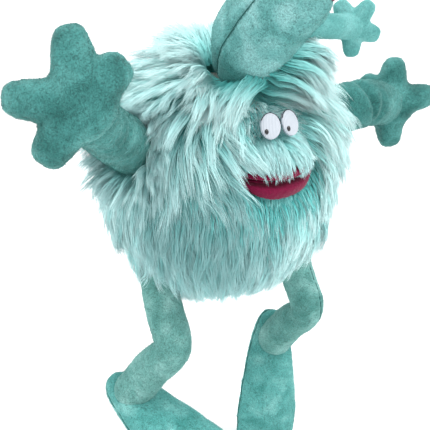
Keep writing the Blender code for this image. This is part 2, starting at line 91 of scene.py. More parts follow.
# Hands, right then left: the way the palm faces, and each finger's direction and share of the reach.
HAND_FACES = (Vector((-0.52, -0.83, 0.20)), Vector((-0.54, -0.84, 0.05)))
PALMS = (CENTRE + Vector((-0.190, -0.108, 0.123)), CENTRE + Vector((0.238, -0.016, 0.052)))
HAND_FINGERS = (
    ((Vector((0.02, 0.20, 1.0)), 1.0), (Vector((-0.84, 0.52, 0.10)), 1.0),
     (Vector((-0.56, 0.16, -0.80)), 0.95), (Vector((0.72, -0.26, 0.66)), 0.84)),
    ((Vector((0.05, 0.0, 1.0)), 1.0), (Vector((0.86, -0.45, 0.20)), 1.0),
     (Vector((0.10, -0.05, -1.0)), 1.0), (Vector((-0.65, 0.40, 0.62)), 0.85)),
)
CREST_PALM = CENTRE + Vector((0.128, -0.052, 0.152))
CREST_FACE = Vector((-0.54, -0.84, 0.0))
CREST_FINGERS = ((Vector((-0.45, 0.30, 0.80)), 1.0), (Vector((0.50, -0.30, 0.80)), 1.0),
                 (Vector((0.80, -0.50, -0.30)), 1.0), (Vector((0.05, -0.03, -1.0)), 1.0))
CREST_HEAD = CENTRE + Vector((0.007, -0.101, 0.196))
CREST_NECK_RADIUS = 0.0415
CREST_HEAD_RADIUS = 0.0405
CREST_ROOT = JOINTS["crest_nod"] + Vector((0, 0.014, 0.000))
CREST_WIDTH = 0.84
TOE_DIRECTIONS = (Vector((0.30, -0.92, -0.26)), Vector((-0.22, -0.27, -0.94)))
INSTEP_DIRECTIONS = (Vector((0.06, -0.25, 0.97)), Vector((-0.10, -0.93, 0.36)))

EYE_PLACE = Vector((0.0112, -0.1005, 0.079))
EYE_HALF_WIDTH = 0.0100
EYE_HALF_HEIGHT = 0.0122
EYE_TURN = 9
EYE_LEAN = 28
EYE_ROLL = 14

# The mouth as it lies on the face: half its width, how far its corners rise, and how tall each lip is.
MOUTH_HALF = 0.0410
MOUTH_RISE = 0.0045
LIP_HEIGHTS = {1: 0.0105, -1: 0.0150}


# ---------------------------------------------------------------- materials

def srgb(red, green, blue):
    """A colour given as 0 to 255, in the linear values that shaders take."""
    return tuple((part / 255) ** 2.2 for part in (red, green, blue)) + (1,)


def new_material(name, roughness=0.7, sheen=0.0, specular=0.5):
    made = bpy.data.materials.new(name)
    made.use_nodes = True
    shader = made.node_tree.nodes["Principled BSDF"]
    shader.inputs["Roughness"].default_value = roughness
    shader.inputs["Specular IOR Level"].default_value = specular
    shader.inputs["Sheen Weight"].default_value = sheen
    shader.inputs["Sheen Roughness"].default_value = 0.45
    return made, made.node_tree.nodes, made.node_tree.links, shader


def ramp(nodes, links, source, stops):
    node = nodes.new("ShaderNodeValToRGB")
    while len(node.color_ramp.elements) < len(stops):
        node.color_ramp.elements.new(0.5)
    for element, (place, colour) in zip(node.color_ramp.elements, stops):
        element.position = place
        element.color = colour
    links.new(source, node.inputs["Fac"])
    return node.outputs["Color"]


def noise_of(nodes, links, coordinates, scale, detail=3, distortion=0.0):
    node = nodes.new("ShaderNodeTexNoise")
    node.inputs["Scale"].default_value = scale
    node.inputs["Detail"].default_value = detail
    node.inputs["Distortion"].default_value = distortion
    links.new(coordinates, node.inputs["Vector"])
    return node.outputs["Fac"]


def mix(nodes, links, share, first, second, blend="MIX"):
    node = nodes.new("ShaderNodeMix")
    node.data_type = "RGBA"
    node.blend_type = blend
    for socket, value in (("Factor", share), ("A", first), ("B", second)):
        if isinstance(value, bpy.types.NodeSocket):
            links.new(value, node.inputs[socket])
        else:
            node.inputs[socket].default_value = value
    return node.outputs["Result"]


def bump(nodes, links, shader, heights, distance, strength):
    node = nodes.new("ShaderNodeBump")
    node.inputs["Distance"].default_value = distance
    node.inputs["Strength"].default_value = strength
    links.new(heights, node.inputs["Height"])
    links.new(node.outputs["Normal"], shader.inputs["Normal"])


def plush_material(name, dark, middle, light, nap=330.0):
    """Short dense pile: patches brushed light and dark, small crushed marks, and a fine grain."""
    made, nodes, links, shader = new_material(name, 0.82, 0.35, 0.2)
    shader.inputs["Sheen Tint"].default_value = srgb(190, 225, 222)
    place = nodes.new("ShaderNodeTexCoord").outputs["Object"]
    patches = noise_of(nodes, links, place, 34, 3, 0.4)
    marks = noise_of(nodes, links, place, nap, 2, 2.2)
    grain = noise_of(nodes, links, place, nap * 2.6, 2, 0.8)
    base = ramp(nodes, links, patches, ((0.32, dark), (0.52, middle), (0.72, light)))
    crushed = ramp(nodes, links, marks, ((0.34, (0.50, 0.52, 0.52, 1)), (0.47, (0.96, 0.96, 0.96, 1)),
                                         (0.64, (1.25, 1.22, 1.22, 1))))
    colour = mix(nodes, links, 0.75, base, crushed, "MULTIPLY")
    fine = ramp(nodes, links, grain, ((0.32, (0.72, 0.74, 0.74, 1)), (0.68, (1.22, 1.20, 1.20, 1))))
    links.new(mix(nodes, links, 0.8, colour, fine, "MULTIPLY"), shader.inputs["Base Color"])
    both = mix(nodes, links, 0.4, marks, grain)
    bump(nodes, links, shader, both, 0.0012, 0.55)
    return made


def mapped_values(nodes, links):
    """The two numbers that the UV map holds for each point, as X and Y."""
    split = nodes.new("ShaderNodeSeparateXYZ")
    uv = nodes.new("ShaderNodeUVMap")
    uv.uv_map = "OFBake"
    links.new(uv.outputs["UV"], split.inputs["Vector"])
    return split.outputs


def fur_material(name, root, middle, tip, sheen=0.15):
    """Colour runs from root to tip along V, darker at the root partly as the fur's own colour and partly as
    painted shade deep in the pile; U makes each strand darker or lighter, by random tone and, where a caller sets
    it, by painted light and shade.
    """
    made, nodes, links, shader = new_material(name, 0.55, sheen, 0.25)
    mapped = mapped_values(nodes, links)
    # Along V: the darker root is partly the fur's own colour, partly painted shade deep in the pile.
    along = ramp(nodes, links, mapped["Y"], ((0.02, root), (0.36, middle), (0.85, tip)))
    # Along U: random tone per strand, plus painted light and shade where a caller raises or lowers a region.
    shade = ramp(nodes, links, mapped["X"], ((0.0, (0.48, 0.60, 0.60, 1)), (0.5, (1.0, 1.0, 1.0, 1)),
                                             (1.0, (1.28, 1.20, 1.18, 1))))
    links.new(mix(nodes, links, 1.0, along, shade, "MULTIPLY"), shader.inputs["Base Color"])
    return made


def cloth_material(name, colour, scale, contrast=0.25, roughness=0.9, sheen=0.2):
    """A plain woven or felted cloth with a fine uneven grain."""
    made, nodes, links, shader = new_material(name, roughness, sheen, 0.2)
    place = nodes.new("ShaderNodeTexCoord").outputs["Object"]
    grain = noise_of(nodes, links, place, scale, 3)
    low = tuple(part * (1 - contrast) for part in colour[:3]) + (1,)
    high = tuple(min(1, part * (1 + contrast)) for part in colour[:3]) + (1,)
    links.new(ramp(nodes, links, grain, ((0.3, low), (0.7, high))), shader.inputs["Base Color"])
    bump(nodes, links, shader, grain, 0.0006, 0.4)
    return made


# The arm plush is darker than the leg plush of the same fabric: partly its own tone, partly painted shade, set to
# the tone of the palm in shade.
PLUSH_ARM = plush_material("plush_arm", srgb(48, 104, 100), srgb(66, 128, 124), srgb(88, 152, 148))
PLUSH_LEG = plush_material("plush_leg", srgb(78, 134, 128), srgb(101, 155, 149), srgb(133, 182, 177))
PLUSH_FOOT = plush_material("plush_foot", srgb(66, 137, 132), srgb(90, 160, 156), srgb(120, 182, 178))
PLUSH_CREST = plush_material("plush_crest", srgb(80, 143, 140), srgb(108, 169, 167), srgb(142, 195, 194))
PLUSH_SMALL = plush_material("plush_small_hand", srgb(86, 157, 154), srgb(108, 177, 174), srgb(134, 196, 194),
                             620)
# The darker root colours are partly the fur's own colour, partly painted shade deep in the pile.
LONG_FUR = fur_material("long_fur", srgb(84, 186, 183), srgb(150, 226, 225), srgb(206, 248, 249))
UNDER_FUR = fur_material("under_fur", srgb(58, 158, 155), srgb(92, 194, 191), srgb(134, 218, 216))
FACE_FUR = fur_material("face_fur", srgb(88, 184, 181), srgb(138, 210, 209), srgb(190, 236, 237))
BACKING = cloth_material("fur_backing", srgb(66, 142, 138), 900)
VELOUR = cloth_material("mouth_velour", srgb(112, 6, 54), 1500, 0.4, 0.8, 0.15)
SEAM = cloth_material("seam_thread", srgb(46, 100, 96), 2500)
EYE_THREAD = cloth_material("eye_thread", srgb(44, 52, 60), 2500)
WADDING = cloth_material("wadding", srgb(225, 225, 218), 300)
LINING = cloth_material("sleeve_lining", srgb(60, 110, 108), 2400)
WEBBING = cloth_material("webbing", srgb(28, 28, 30), 2600, 0.5, 0.7)
BOARD = cloth_material("board", srgb(60, 58, 56), 700, 0.15, 0.6, 0.0)


# ---------------------------------------------------------------- mesh helpers

def add_piece(name, mesh, material):
    """A smooth-shaded object in the scene, with its material."""
    piece = bpy.data.objects.new(name, mesh)
    bpy.context.scene.collection.objects.link(piece)
    mesh.materials.clear()
    mesh.materials.append(material)
    mesh.shade_smooth()
    return piece


def mesh_of(shape, name):
    bmesh.ops.recalc_face_normals(shape, faces=shape.faces)
    mesh = bpy.data.meshes.new(name)
    shape.to_mesh(mesh)
    shape.free()
    return mesh


def evaluated_copy(piece):
    """Applies the piece's modifiers."""
    graph = bpy.context.evaluated_depsgraph_get()
    mesh = bpy.data.meshes.new_from_object(piece.evaluated_get(graph))
    piece.modifiers.clear()
    piece.data = mesh
    return piece


def remeshed(piece, voxel, smoothing):
    """One skin round everything in the piece, evened out."""
    modifier = piece.modifiers.new("skin", "REMESH")
    modifier.mode = "VOXEL"
    modifier.voxel_size = voxel
    smooth = piece.modifiers.new("even", "SMOOTH")
    smooth.factor = 0.6
    smooth.iterations = smoothing
    evaluated_copy(piece)
    piece.data.shade_smooth()
    return piece


def moved_points(mesh, change):
    """Passes every point and its normal through a function that gives the new point."""
    points = [change(vert.co.copy(), vert.normal.copy()) for vert in mesh.vertices]
    mesh.vertices.foreach_set("co", [part for point in points for part in point])
    mesh.update()


def rough_nap(piece, height, scale):
    """The uneven surface of pile that has been handled."""
    def change(point, normal):
        deep = noise.noise(point * scale) + 0.6 * noise.noise(point * scale * 2.7)
        return point + normal * height * deep
    moved_points(piece.data, change)


def crease(piece, place, way, inner, depth, width):
    """A fold across a limb, deepest on its inner side."""
    way, inner = way.normalized(), inner.normalized()

    def change(point, normal):
        along = (point - place).dot(way) / width
        facing = max(0.0, normal.dot(inner))
        return point - normal * depth * facing * exp(-along * along)
    moved_points(piece.data, change)


def sewn(piece, path, body, depth=0.0013, width=0.0024):
    """A seam: the pile parts along it, and a dark thread lies in the groove."""
    found = [piece.closest_point_on_mesh(point) for point in path]
    line = [place for _, place, _, _ in found]
    tree = kdtree.KDTree(len(line))
    for i, place in enumerate(line):
        tree.insert(place, i)
    tree.balance()

    def change(point, normal):
        gap = tree.find(point)[2] / width
        return point - normal * depth * exp(-gap * gap)
    moved_points(piece.data, change)
    low = [place - normal * (depth * 0.55) for _, place, normal, _ in found]
    shape = bmesh.new()
    add_tube(shape, low, [0.00055] * len(low), 8, False)
    name = piece.name + "_seam"
    thread = add_piece(name, mesh_of(shape, name), SEAM)
    if isinstance(body, str):
        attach(thread, body)
    else:
        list(body[:2])
        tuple(body[2])
        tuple(body[3])
        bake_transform(thread)


def fuzzed(piece, count, length, rng):
    """Adds short fibres that stand out from the piece's skin."""
    mesh = piece.data
    mesh.calc_loop_triangles()
    verts = np.empty(len(mesh.vertices) * 3, np.float32)
    mesh.vertices.foreach_get("co", verts)
    verts = verts.reshape(-1, 3).astype(np.float64)
    tris = np.empty(len(mesh.loop_triangles) * 3, np.int32)
    mesh.loop_triangles.foreach_get("vertices", tris)
    tris = tris.reshape(-1, 3)
    a, b, c = (verts[tris[:, k]] for k in range(3))
    cross = np.cross(b - a, c - a)
    area = np.linalg.norm(cross, axis=1)
    chosen = rng.choice(len(tris), count, p=area / area.sum())
    u, v = rng.uniform(0, 1, (2, count))
    over = u + v > 1
    u, v = np.where(over, 1 - u, u)[:, None], np.where(over, 1 - v, v)[:, None]
    root = a[chosen] + (b - a)[chosen] * u + (c - a)[chosen] * v
    normal = unit(cross[chosen])
    lean = rng.normal(0, 0.35, (count, 3)) + np.array((0, 0, -0.25))
    way = unit(normal + lean - (lean * normal).sum(axis=1, keepdims=True) * normal * 0.5)
    tip = root + way * length * rng.uniform(0.6, 1.2, (count, 1))
    root = root - normal * 0.0003
    side = unit(np.cross(way, rng.normal(size=(count, 3)))) * 0.00013
    other = np.cross(way, side)
    corners = [root + side * cos(turn) + other * sin(turn) for turn in (0, 2 * pi / 3, 4 * pi / 3)]
    fibres = np.stack([*corners, tip], axis=1).reshape(-1, 3)
    starts = (len(verts) + np.arange(count) * 4)[:, None, None]
    shape = np.array(((0, 1, 3), (1, 2, 3), (2, 0, 3), (2, 1, 0)))[None]
    faces = np.concatenate([tris, (starts + shape).reshape(-1, 3)])
    smooth = np.concatenate([np.ones(len(tris), bool), np.zeros(count * 4, bool)])
    made = mesh_from(mesh.name + "_fuzzed", np.concatenate([verts, fibres]), [faces])
    made.polygons.foreach_set("use_smooth", smooth)
    made.materials.append(mesh.materials[0])
    piece.data = made


def mesh_from(name, verts, groups):
    """A mesh from points and one or more tables of faces with the same number of corners."""
    corners = np.concatenate([faces.ravel() for faces in groups]).astype(np.int32)
    sizes = np.concatenate([np.full(len(faces), faces.shape[1]) for faces in groups])
    starts = np.concatenate([[0], np.cumsum(sizes)[:-1]]).astype(np.int32)
    mesh = bpy.data.meshes.new(name)
    mesh.vertices.add(len(verts))
    mesh.vertices.foreach_set("co", verts.astype(np.float32).ravel())
    mesh.loops.add(len(corners))
    mesh.loops.foreach_set("vertex_index", corners)
    mesh.polygons.add(len(sizes))
    mesh.polygons.foreach_set("loop_start", starts)
    mesh.update(calc_edges=True)
    return mesh


def smooth_path(points, steps):
    """A curve through the points (Catmull-Rom)."""
    ends = [points[0] * 2 - points[1], *points, points[-1] * 2 - points[-2]]
    curve = []
    for i in range(1, len(ends) - 2):
        a, b, c, d = ends[i - 1:i + 3]
        for step in range(steps):
            t = step / steps
            curve.append(0.5 * (2 * b + (c - a) * t + (2 * a - 5 * b + 4 * c - d) * t * t
                                + (3 * b - a - 3 * c + d) * t ** 3))
    curve.append(points[-1])
    return curve


def add_tube(shape, path, radii, segments=40, round_end=True):
    """A tube along a path with a radius at each point, closed at both ends."""
    ahead = (path[1] - path[0]).normalized()
    side = ahead.orthogonal().normalized()
    rings = []
    stations = list(zip(path, radii))
    if round_end:
        last = (path[-1] - path[-2]).normalized()
        stations += [(path[-1] + last * radii[-1] * sin(turn) * 0.75, radii[-1] * cos(turn))
                     for turn in (0.35, 0.7, 1.0, 1.25, 1.45)]
    for i, (point, radius) in enumerate(stations):
        after = stations[min(i + 1, len(stations) - 1)][0]
        before = stations[max(i - 1, 0)][0]
        ahead = (after - before).normalized()
        side = (side - ahead * side.dot(ahead)).normalized()
        other = ahead.cross(side)
        rings.append([shape.verts.new(point + (side * cos(2 * pi * k / segments)
                                               + other * sin(2 * pi * k / segments)) * radius)
                      for k in range(segments)])
    for low, high in zip(rings, rings[1:]):
        for k in range(segments):
            j = (k + 1) % segments
            shape.faces.new((low[k], low[j], high[j], high[k]))
    shape.faces.new(reversed(rings[0]))
    shape.faces.new(rings[-1])


def add_ball(shape, segments, rows, radius):
    """A ball with its poles up and down, whose points and faces come in the same order in each run."""
    poles = [shape.verts.new((0, 0, level * radius)) for level in (-1, 1)]
    turns = [2 * pi * k / segments for k in range(segments)]
    rings = []
    for row in range(1, rows):
        out, level = radius * sin(pi * row / rows), -radius * cos(pi * row / rows)
        rings.append([shape.verts.new((out * cos(turn), out * sin(turn), level)) for turn in turns])
    for k in range(segments):
        j = (k + 1) % segments
        shape.faces.new((poles[0], rings[0][j], rings[0][k]))
        for low, high in zip(rings, rings[1:]):
            shape.faces.new((low[k], low[j], high[j], high[k]))
        shape.faces.new((poles[1], rings[-1][k], rings[-1][j]))


def lobe(angle, direction, length, half_width, power):
    """How far a blunt finger reaches from the palm's middle at an angle."""
    turn = abs(angle - direction)
    turn = min(turn, 2 * pi - turn)
    if turn > pi / 2:
        return half_width
    return ((1 / length) ** power + (sin(turn) / half_width) ** power) ** (-1 / power)


def add_star(shape, palm, face, fingers, reach, palm_radius, finger_radius, flatness, steps=180):
    """A stuffed palm with four blunt fingers, thick in the middle and thin at the seam round its edge."""
    face = face.normalized()
    side = UP.cross(face).normalized()
    up = face.cross(side)
    lobes = [(atan2(way.dot(up), way.dot(side)), reach * share) for way, share in fingers]
    angles = [2 * pi * step / steps for step in range(steps)]
    outline = []
    for angle in angles:
        reaches = [lobe(angle, direction, length, finger_radius, 4) for direction, length in lobes]
        reaches.append(palm_radius)
        outline.append(sum(far ** 9 for far in reaches) ** (1 / 9))
    half = palm_radius * flatness
    rows = [share / 14 for share in range(1, 15)]
    edge = None
    for level in (1, -1):
        inner = shape.verts.new(palm + face * half * level)
        for share in rows:
            if share == 1 and edge:
                ring = edge
            else:
                ring = []
                for angle, far in zip(angles, outline):
                    height = half * level * max(0.0, 1 - share ** 2.6) ** 0.5
                    ring.append(shape.verts.new(palm + face * height
                                                + (side * cos(angle) + up * sin(angle)) * far * share))
            if share == 1:
                edge = ring
            for i in range(steps):
                j = (i + 1) % steps
                if isinstance(inner, list):
                    shape.faces.new((inner[i], ring[i], ring[j], inner[j]))
                else:
                    shape.faces.new((inner, ring[i], ring[j]))
            inner = ring


# ---------------------------------------------------------------- limbs

def make_arm(side):
    """Arm and mitt in one sewn skin, bent and creased at the elbow."""
    name = SIDES[side]
    shoulder, elbow, palm = JOINTS[f"{name}_shoulder"], JOINTS[f"{name}_elbow"], PALMS[side]
    rng = np.random.default_rng(31 + side)
    shape = bmesh.new()
    inner = shoulder + (CENTRE - shoulder).normalized() * 0.020
    route = smooth_path([inner, shoulder, shoulder.lerp(elbow, 0.5), elbow, palm.lerp(elbow, 0.25)], 8)
    count = len(route) - 1
    bend = count * 3 // 4
    elbow_radius, wrist_radius = ELBOW_RADIUS + ARM_STUFFING[side], WRIST_RADIUS + ARM_STUFFING[side]
    radii = [SHOULDER_RADIUS + (elbow_radius - SHOULDER_RADIUS) * i / bend if i < bend
             else elbow_radius + (wrist_radius - elbow_radius) * (i - bend) / (count - bend)
             for i in range(count + 1)]
    radii[:3] = [0.020, 0.024, 0.026]
    add_tube(shape, route, radii)
    palm_radius = 0.0275 + ARM_STUFFING[side] * 0.8
    add_star(shape, palm, HAND_FACES[side], HAND_FINGERS[side], 0.056, palm_radius, 0.0160, 0.76)
    piece = add_piece(f"{name}_arm_plush", mesh_of(shape, f"{name}_arm"), PLUSH_ARM)
    remeshed(piece, 0.0016, 8)
    rough_nap(piece, 0.0005, 260)
    rough_nap(piece, 0.0009, 45)
    along = (palm - shoulder).normalized()
    upper_fold, lower_fold = ((0.0012, 0.001), (0.0050, 0.0034))[side]
    crease(piece, elbow, along + UP * 0.25, UP * 0.8 + Vector((0, -1, 0)), upper_fold, 0.0040)
    below = -UP * 0.6 + Vector((0, -0.8, 0))
    crease(piece, elbow + along * 0.014, along - UP * 0.15, below, lower_fold, 0.005)
    fuzzed(piece, 22000, 0.0016, rng)
    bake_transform(piece)
    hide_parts(f"{name}_arm_cover", f"{name}_arm_filling",
                f"{name}_hand_cover", f"{name}_hand_filling")


def make_leg(side):
    """Thigh and shin in one bent tube with a round end and a seam up its outer side."""
    name = SIDES[side]
    hip, knee, ankle = (JOINTS[f"{name}_{joint}"] for joint in ("hip", "knee", "ankle"))
    rng = np.random.default_rng(41 + side)
    shape = bmesh.new()
    inner = hip + (hip - knee).normalized() * 0.008
    bend = knee + (knee - (hip + ankle) / 2).normalized() * 0.002
    route = smooth_path([inner, hip.lerp(knee, 0.55), bend, knee.lerp(ankle, 0.5), ankle], 9)
    count = len(route) - 1
    radii = [LEG_RADIUS * (1.0 + 0.14 * (i / count) ** 2) for i in range(count + 1)]
    add_tube(shape, route, radii)
    piece = add_piece(f"{name}_leg_plush", mesh_of(shape, f"{name}_leg"), PLUSH_LEG)
    remeshed(piece, 0.0015, 6)
    rough_nap(piece, 0.0005, 260)
    rough_nap(piece, 0.0008, 50)
    along = (ankle - hip).normalized()
    joint = (f"{name}_thigh", f"{name}_shin", knee - along * 0.022, knee + along * 0.022)
    outer = (Vector((0.45, 0.89, 0)), Vector((0.36, -0.93, 0)))[side]
    sewn(piece, [point + outer * radius for point, radius in zip(route[3:], radii[3:])], joint)
    crease(piece, knee, along, Vector((0, 1, 0)), 0.0035, 0.0040)
    fuzzed(piece, 15000, 0.0014, rng)
    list(joint[:2])
    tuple(joint[2])
    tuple(joint[3])
    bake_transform(piece)
    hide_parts(f"{name}_thigh_cover", f"{name}_thigh_filling",
                f"{name}_shin_cover", f"{name}_shin_filling")


def foot_width(share):
    """How wide a foot is at a share of its length from the heel."""
    return 0.050 + 0.056 * share


def make_foot(side):
    """A long flipper sewn from a top and a sole, whose seam runs round its edge."""
    name = SIDES[side]
    ankle = JOINTS[f"{name}_ankle"]
    ahead = TOE_DIRECTIONS[side].normalized()
    across = ahead.cross(INSTEP_DIRECTIONS[side]).normalized()
    up = across.cross(ahead)
    shape = bmesh.new()
    add_ball(shape, 96, 72, 1)
    for vert in shape.verts:
        share = (vert.co.z + 1) / 2
        ring = (vert.co.x ** 2 + vert.co.y ** 2) ** 0.5
        fullness = (1 - abs(vert.co.z) ** 3) ** (1 / 3) / ring if ring > 1e-4 else 0
        width = foot_width(share)
        height = 0.036 - 0.012 * share
        seam = 1 - 0.035 * max(0, 1 - abs(vert.co.y / max(ring, 1e-4)) / 0.10)
        vert.co = (ankle + ahead * (FOOT_LENGTH * share - HEEL_LENGTH)
                   + across * (vert.co.x * fullness * width / 2 * seam)
                   + up * (vert.co.y * fullness * height / 2 - SOLE_DROP))
    piece = add_piece(f"{name}_foot_plush", mesh_of(shape, f"{name}_foot"), PLUSH_FOOT)
    rough_nap(piece, 0.0005, 230)
    rough_nap(piece, 0.0010, 40)
    edge = []
    for step in range(121):
        turn = 2 * pi * step / 120
        share = (cos(turn) + 1) / 2
        width = foot_width(share) * (1 - abs(cos(turn)) ** 3) ** (1 / 3)
        edge.append(ankle + ahead * (FOOT_LENGTH * share - HEEL_LENGTH)
                    + across * (width / 2 if turn < pi else -width / 2) - up * SOLE_DROP)
    sewn(piece, edge, f"{name}_foot", 0.0010, 0.0022)
    fuzzed(piece, 20000, 0.0014, np.random.default_rng(51 + side))
    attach(piece, f"{name}_foot")
    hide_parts(f"{name}_foot_cover", f"{name}_foot_filling")


def crest_mouth_level(turn):
    """How high the second head's mouth is, by the turn round the head from its front."""
    return CREST_HEAD.z + 0.004 - 0.0085 * exp(-((turn - 0.7) / 0.36) ** 2)


def crest_mouth_fold(point, normal):
    """Presses the second head in along its mouth, with a slight rim."""
    turn = atan2(point.x - CREST_HEAD.x, -(point.y - CREST_HEAD.y))
    half = 0.0072 * max(0.0, 1 - (abs(turn) / 1.25) ** 4) ** 0.5
    if point.y > CREST_HEAD.y or half == 0:
        return point
    gap = abs(point.z - crest_mouth_level(turn))
    rim = normal * 0.0012 * exp(-((gap - half) / 0.003) ** 2)
    return point - normal * 0.0050 * exp(-(gap / half) ** 4) + rim


def make_crest():
    """The smooth second head on the crown."""
    shape = bmesh.new()
    middle = CREST_ROOT.lerp(CREST_HEAD, 0.5) + Vector((0, 0.006, 0))
    route = smooth_path([CREST_ROOT, middle, CREST_HEAD], 12)
    count = len(route) - 1
    radii = [CREST_NECK_RADIUS + (CREST_HEAD_RADIUS - CREST_NECK_RADIUS) * (i / count)
             - 0.018 * max(0, 1 - i / count / 0.40) ** 1.5 for i in range(count + 1)]
    add_tube(shape, route, radii, 64)
    bmesh.ops.scale(shape, verts=shape.verts, vec=(CREST_WIDTH, 1, 1))
    piece = add_piece("crest_plush", mesh_of(shape, "crest"), PLUSH_CREST)
    remeshed(piece, 0.0020, 8)
    rough_nap(piece, 0.0005, 230)
    rough_nap(piece, 0.0012, 30)
    moved_points(piece.data, crest_mouth_fold)
    side = Vector((-1, -0.07, 0)).normalized()
    side = Vector((side.x * CREST_WIDTH, side.y, 0))
    sewn(piece, [point + side * radius for point, radius in zip(route, radii)], "crest", 0.0030, 0.0036)
    fuzzed(piece, 24000, 0.0016, np.random.default_rng(61))
    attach(piece, "crest")
    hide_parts("crest_cover", "crest_filling")


def make_crest_mouth():
    """The lining that shows between the lips of the second head."""
    shape = bmesh.new()
    stations = 48
    rings = []
    for i in range(stations + 1):
        turn = 1.22 * (2 * i / stations - 1)
        half = 0.0066 * max(0.0, 1 - (turn / 1.25) ** 4) ** 0.5
        ring = []
        for k in range(12):
            angle = 2 * pi * k / 12
            reach = CREST_HEAD_RADIUS - 0.0042 + 0.0030 * cos(angle)
            ring.append((CREST_HEAD.x + sin(turn) * reach * CREST_WIDTH, CREST_HEAD.y - cos(turn) * reach,
                         crest_mouth_level(turn) + half * sin(angle)))
        rings.append(ring)
    add_loft(shape, rings)
    lining = add_piece("crest_mouth_velour", mesh_of(shape, "crest_mouth"), VELOUR)
    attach(lining, "crest")
    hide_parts("crest_mouth_lining")


def make_crest_hand():
    """The small flat hand of the second head, on its short arm."""
    shoulder = JOINTS["crest_hand_swing"]
    shape = bmesh.new()
    add_tube(shape, smooth_path([shoulder, shoulder.lerp(CREST_PALM, 0.5), CREST_PALM], 8), [0.0125] * 17, 32)
    add_star(shape, CREST_PALM, CREST_FACE, CREST_FINGERS, 0.031, 0.0160, 0.0102, 0.46)
    hand = add_piece("crest_hand_plush", mesh_of(shape, "crest_hand"), PLUSH_SMALL)
    remeshed(hand, 0.0010, 4)
    fuzzed(hand, 9000, 0.0010, np.random.default_rng(62))
    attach(hand, "crest_hand")
    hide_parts("crest_hand_cover", "crest_hand_filling")


# ---------------------------------------------------------------- face

def face_front(x, z):
    """How far forward the face lies at a place, with the round body and the snout run together."""
    ball = BODY_RADII.y * max(0.0, 1 - (x / BODY_RADII.x) ** 2 - (z / BODY_RADII.z) ** 2) ** 0.5
    inside = 1 - (x / SNOUT_RADII.x) ** 2 - ((z - MOUTH_LEVEL) / SNOUT_RADII.z) ** 2
    snout = CENTRE.y - SNOUT_CENTRE.y + SNOUT_RADII.y * max(0.0, inside) ** 0.5
    return CENTRE.y - (ball ** 20 + snout ** 20) ** (1 / 20)


def slit_level(x):
    return MOUTH_LEVEL - 0.002 + MOUTH_RISE * (x / MOUTH_HALF) ** 2


def lip_height(x, sign):
    return LIP_HEIGHTS[sign] * max(0.0, 1 - abs(x / MOUTH_HALF) ** 3.2) ** 0.6


def add_loft(shape, rings):
    """A closed solid through rings with the same number of points."""
    rings = [[shape.verts.new(point) for point in ring] for ring in rings]
    count = len(rings[0])
    for low, high in zip(rings, rings[1:]):
        for k in range(count):
            shape.faces.new((low[k], low[(k + 1) % count], high[(k + 1) % count], high[k]))
    shape.faces.new(reversed(rings[0]))
    shape.faces.new(rings[-1])


def lip_mesh(sign):
    """A plump lip that tapers to the mouth's corners, and the flat roof or floor of the mouth behind it."""
    shape = bmesh.new()
    rings, plate = [], []
    for i in range(91):
        x = MOUTH_HALF * (2 * i / 90 - 1) * 0.998
        height = lip_height(x, sign)
        fullness = height / LIP_HEIGHTS[sign]
        ring = []
        for k in range(15):
            share = k / 14
            level = slit_level(x) + sign * (0.0016 + height * share)
            proud = 0.0012 + 0.0050 * fullness * sin(pi * min(1, 0.12 + 0.80 * share)) ** 0.8
            proud -= 0.0100 * max(0, 0.20 - share) / 0.20
            ring.append(Vector((x, face_front(x, level) - proud, level)))
        for share in (1.0, 0.5, 0.0):
            level = slit_level(x) + sign * (0.0010 + height * share)
            ring.append(Vector((x, face_front(x, level) + 0.0095, level)))
        rings.append(ring)
        if 5 <= i <= 85:
            low, high = slit_level(x) + sign * 0.0006, slit_level(x) + sign * 0.0026
            front, back = face_front(x, low) + 0.004, JOINTS["jaw_open"].y
            corners = ((front, low), (back, low), (back, high), (front, high))
            plate.append([Vector((x * 0.97, y, z)) for y, z in corners])
    add_loft(shape, rings)
    add_loft(shape, plate)
    return mesh_of(shape, "lip")


def make_mouth():
    for sign, side, body in ((1, "upper", "root"), (-1, "lower", "lower_jaw")):
        lip = add_piece(f"{side}_lip", lip_mesh(sign), VELOUR)
        rough_nap(lip, 0.0003, 420)
        rough_nap(lip, 0.0004, 90)
        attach(lip, body)
        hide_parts(f"{side}_mouth_lining")


def eye_frame(sign):
    """The way an eye faces, its turn from the upright, and its place; sign is -1 for the right eye."""
    aside = radians(EYE_TURN)
    facing = Vector((sin(aside) * sign, -cos(aside), tan(radians(EYE_LEAN)))).normalized()
    turn = facing.to_track_quat("Z", "Y").to_matrix() @ Matrix.Rotation(radians(-EYE_ROLL), 3, "Z")
    place = CENTRE + Vector((EYE_PLACE.x * sign, EYE_PLACE.y, EYE_PLACE.z))
    return facing, turn, place


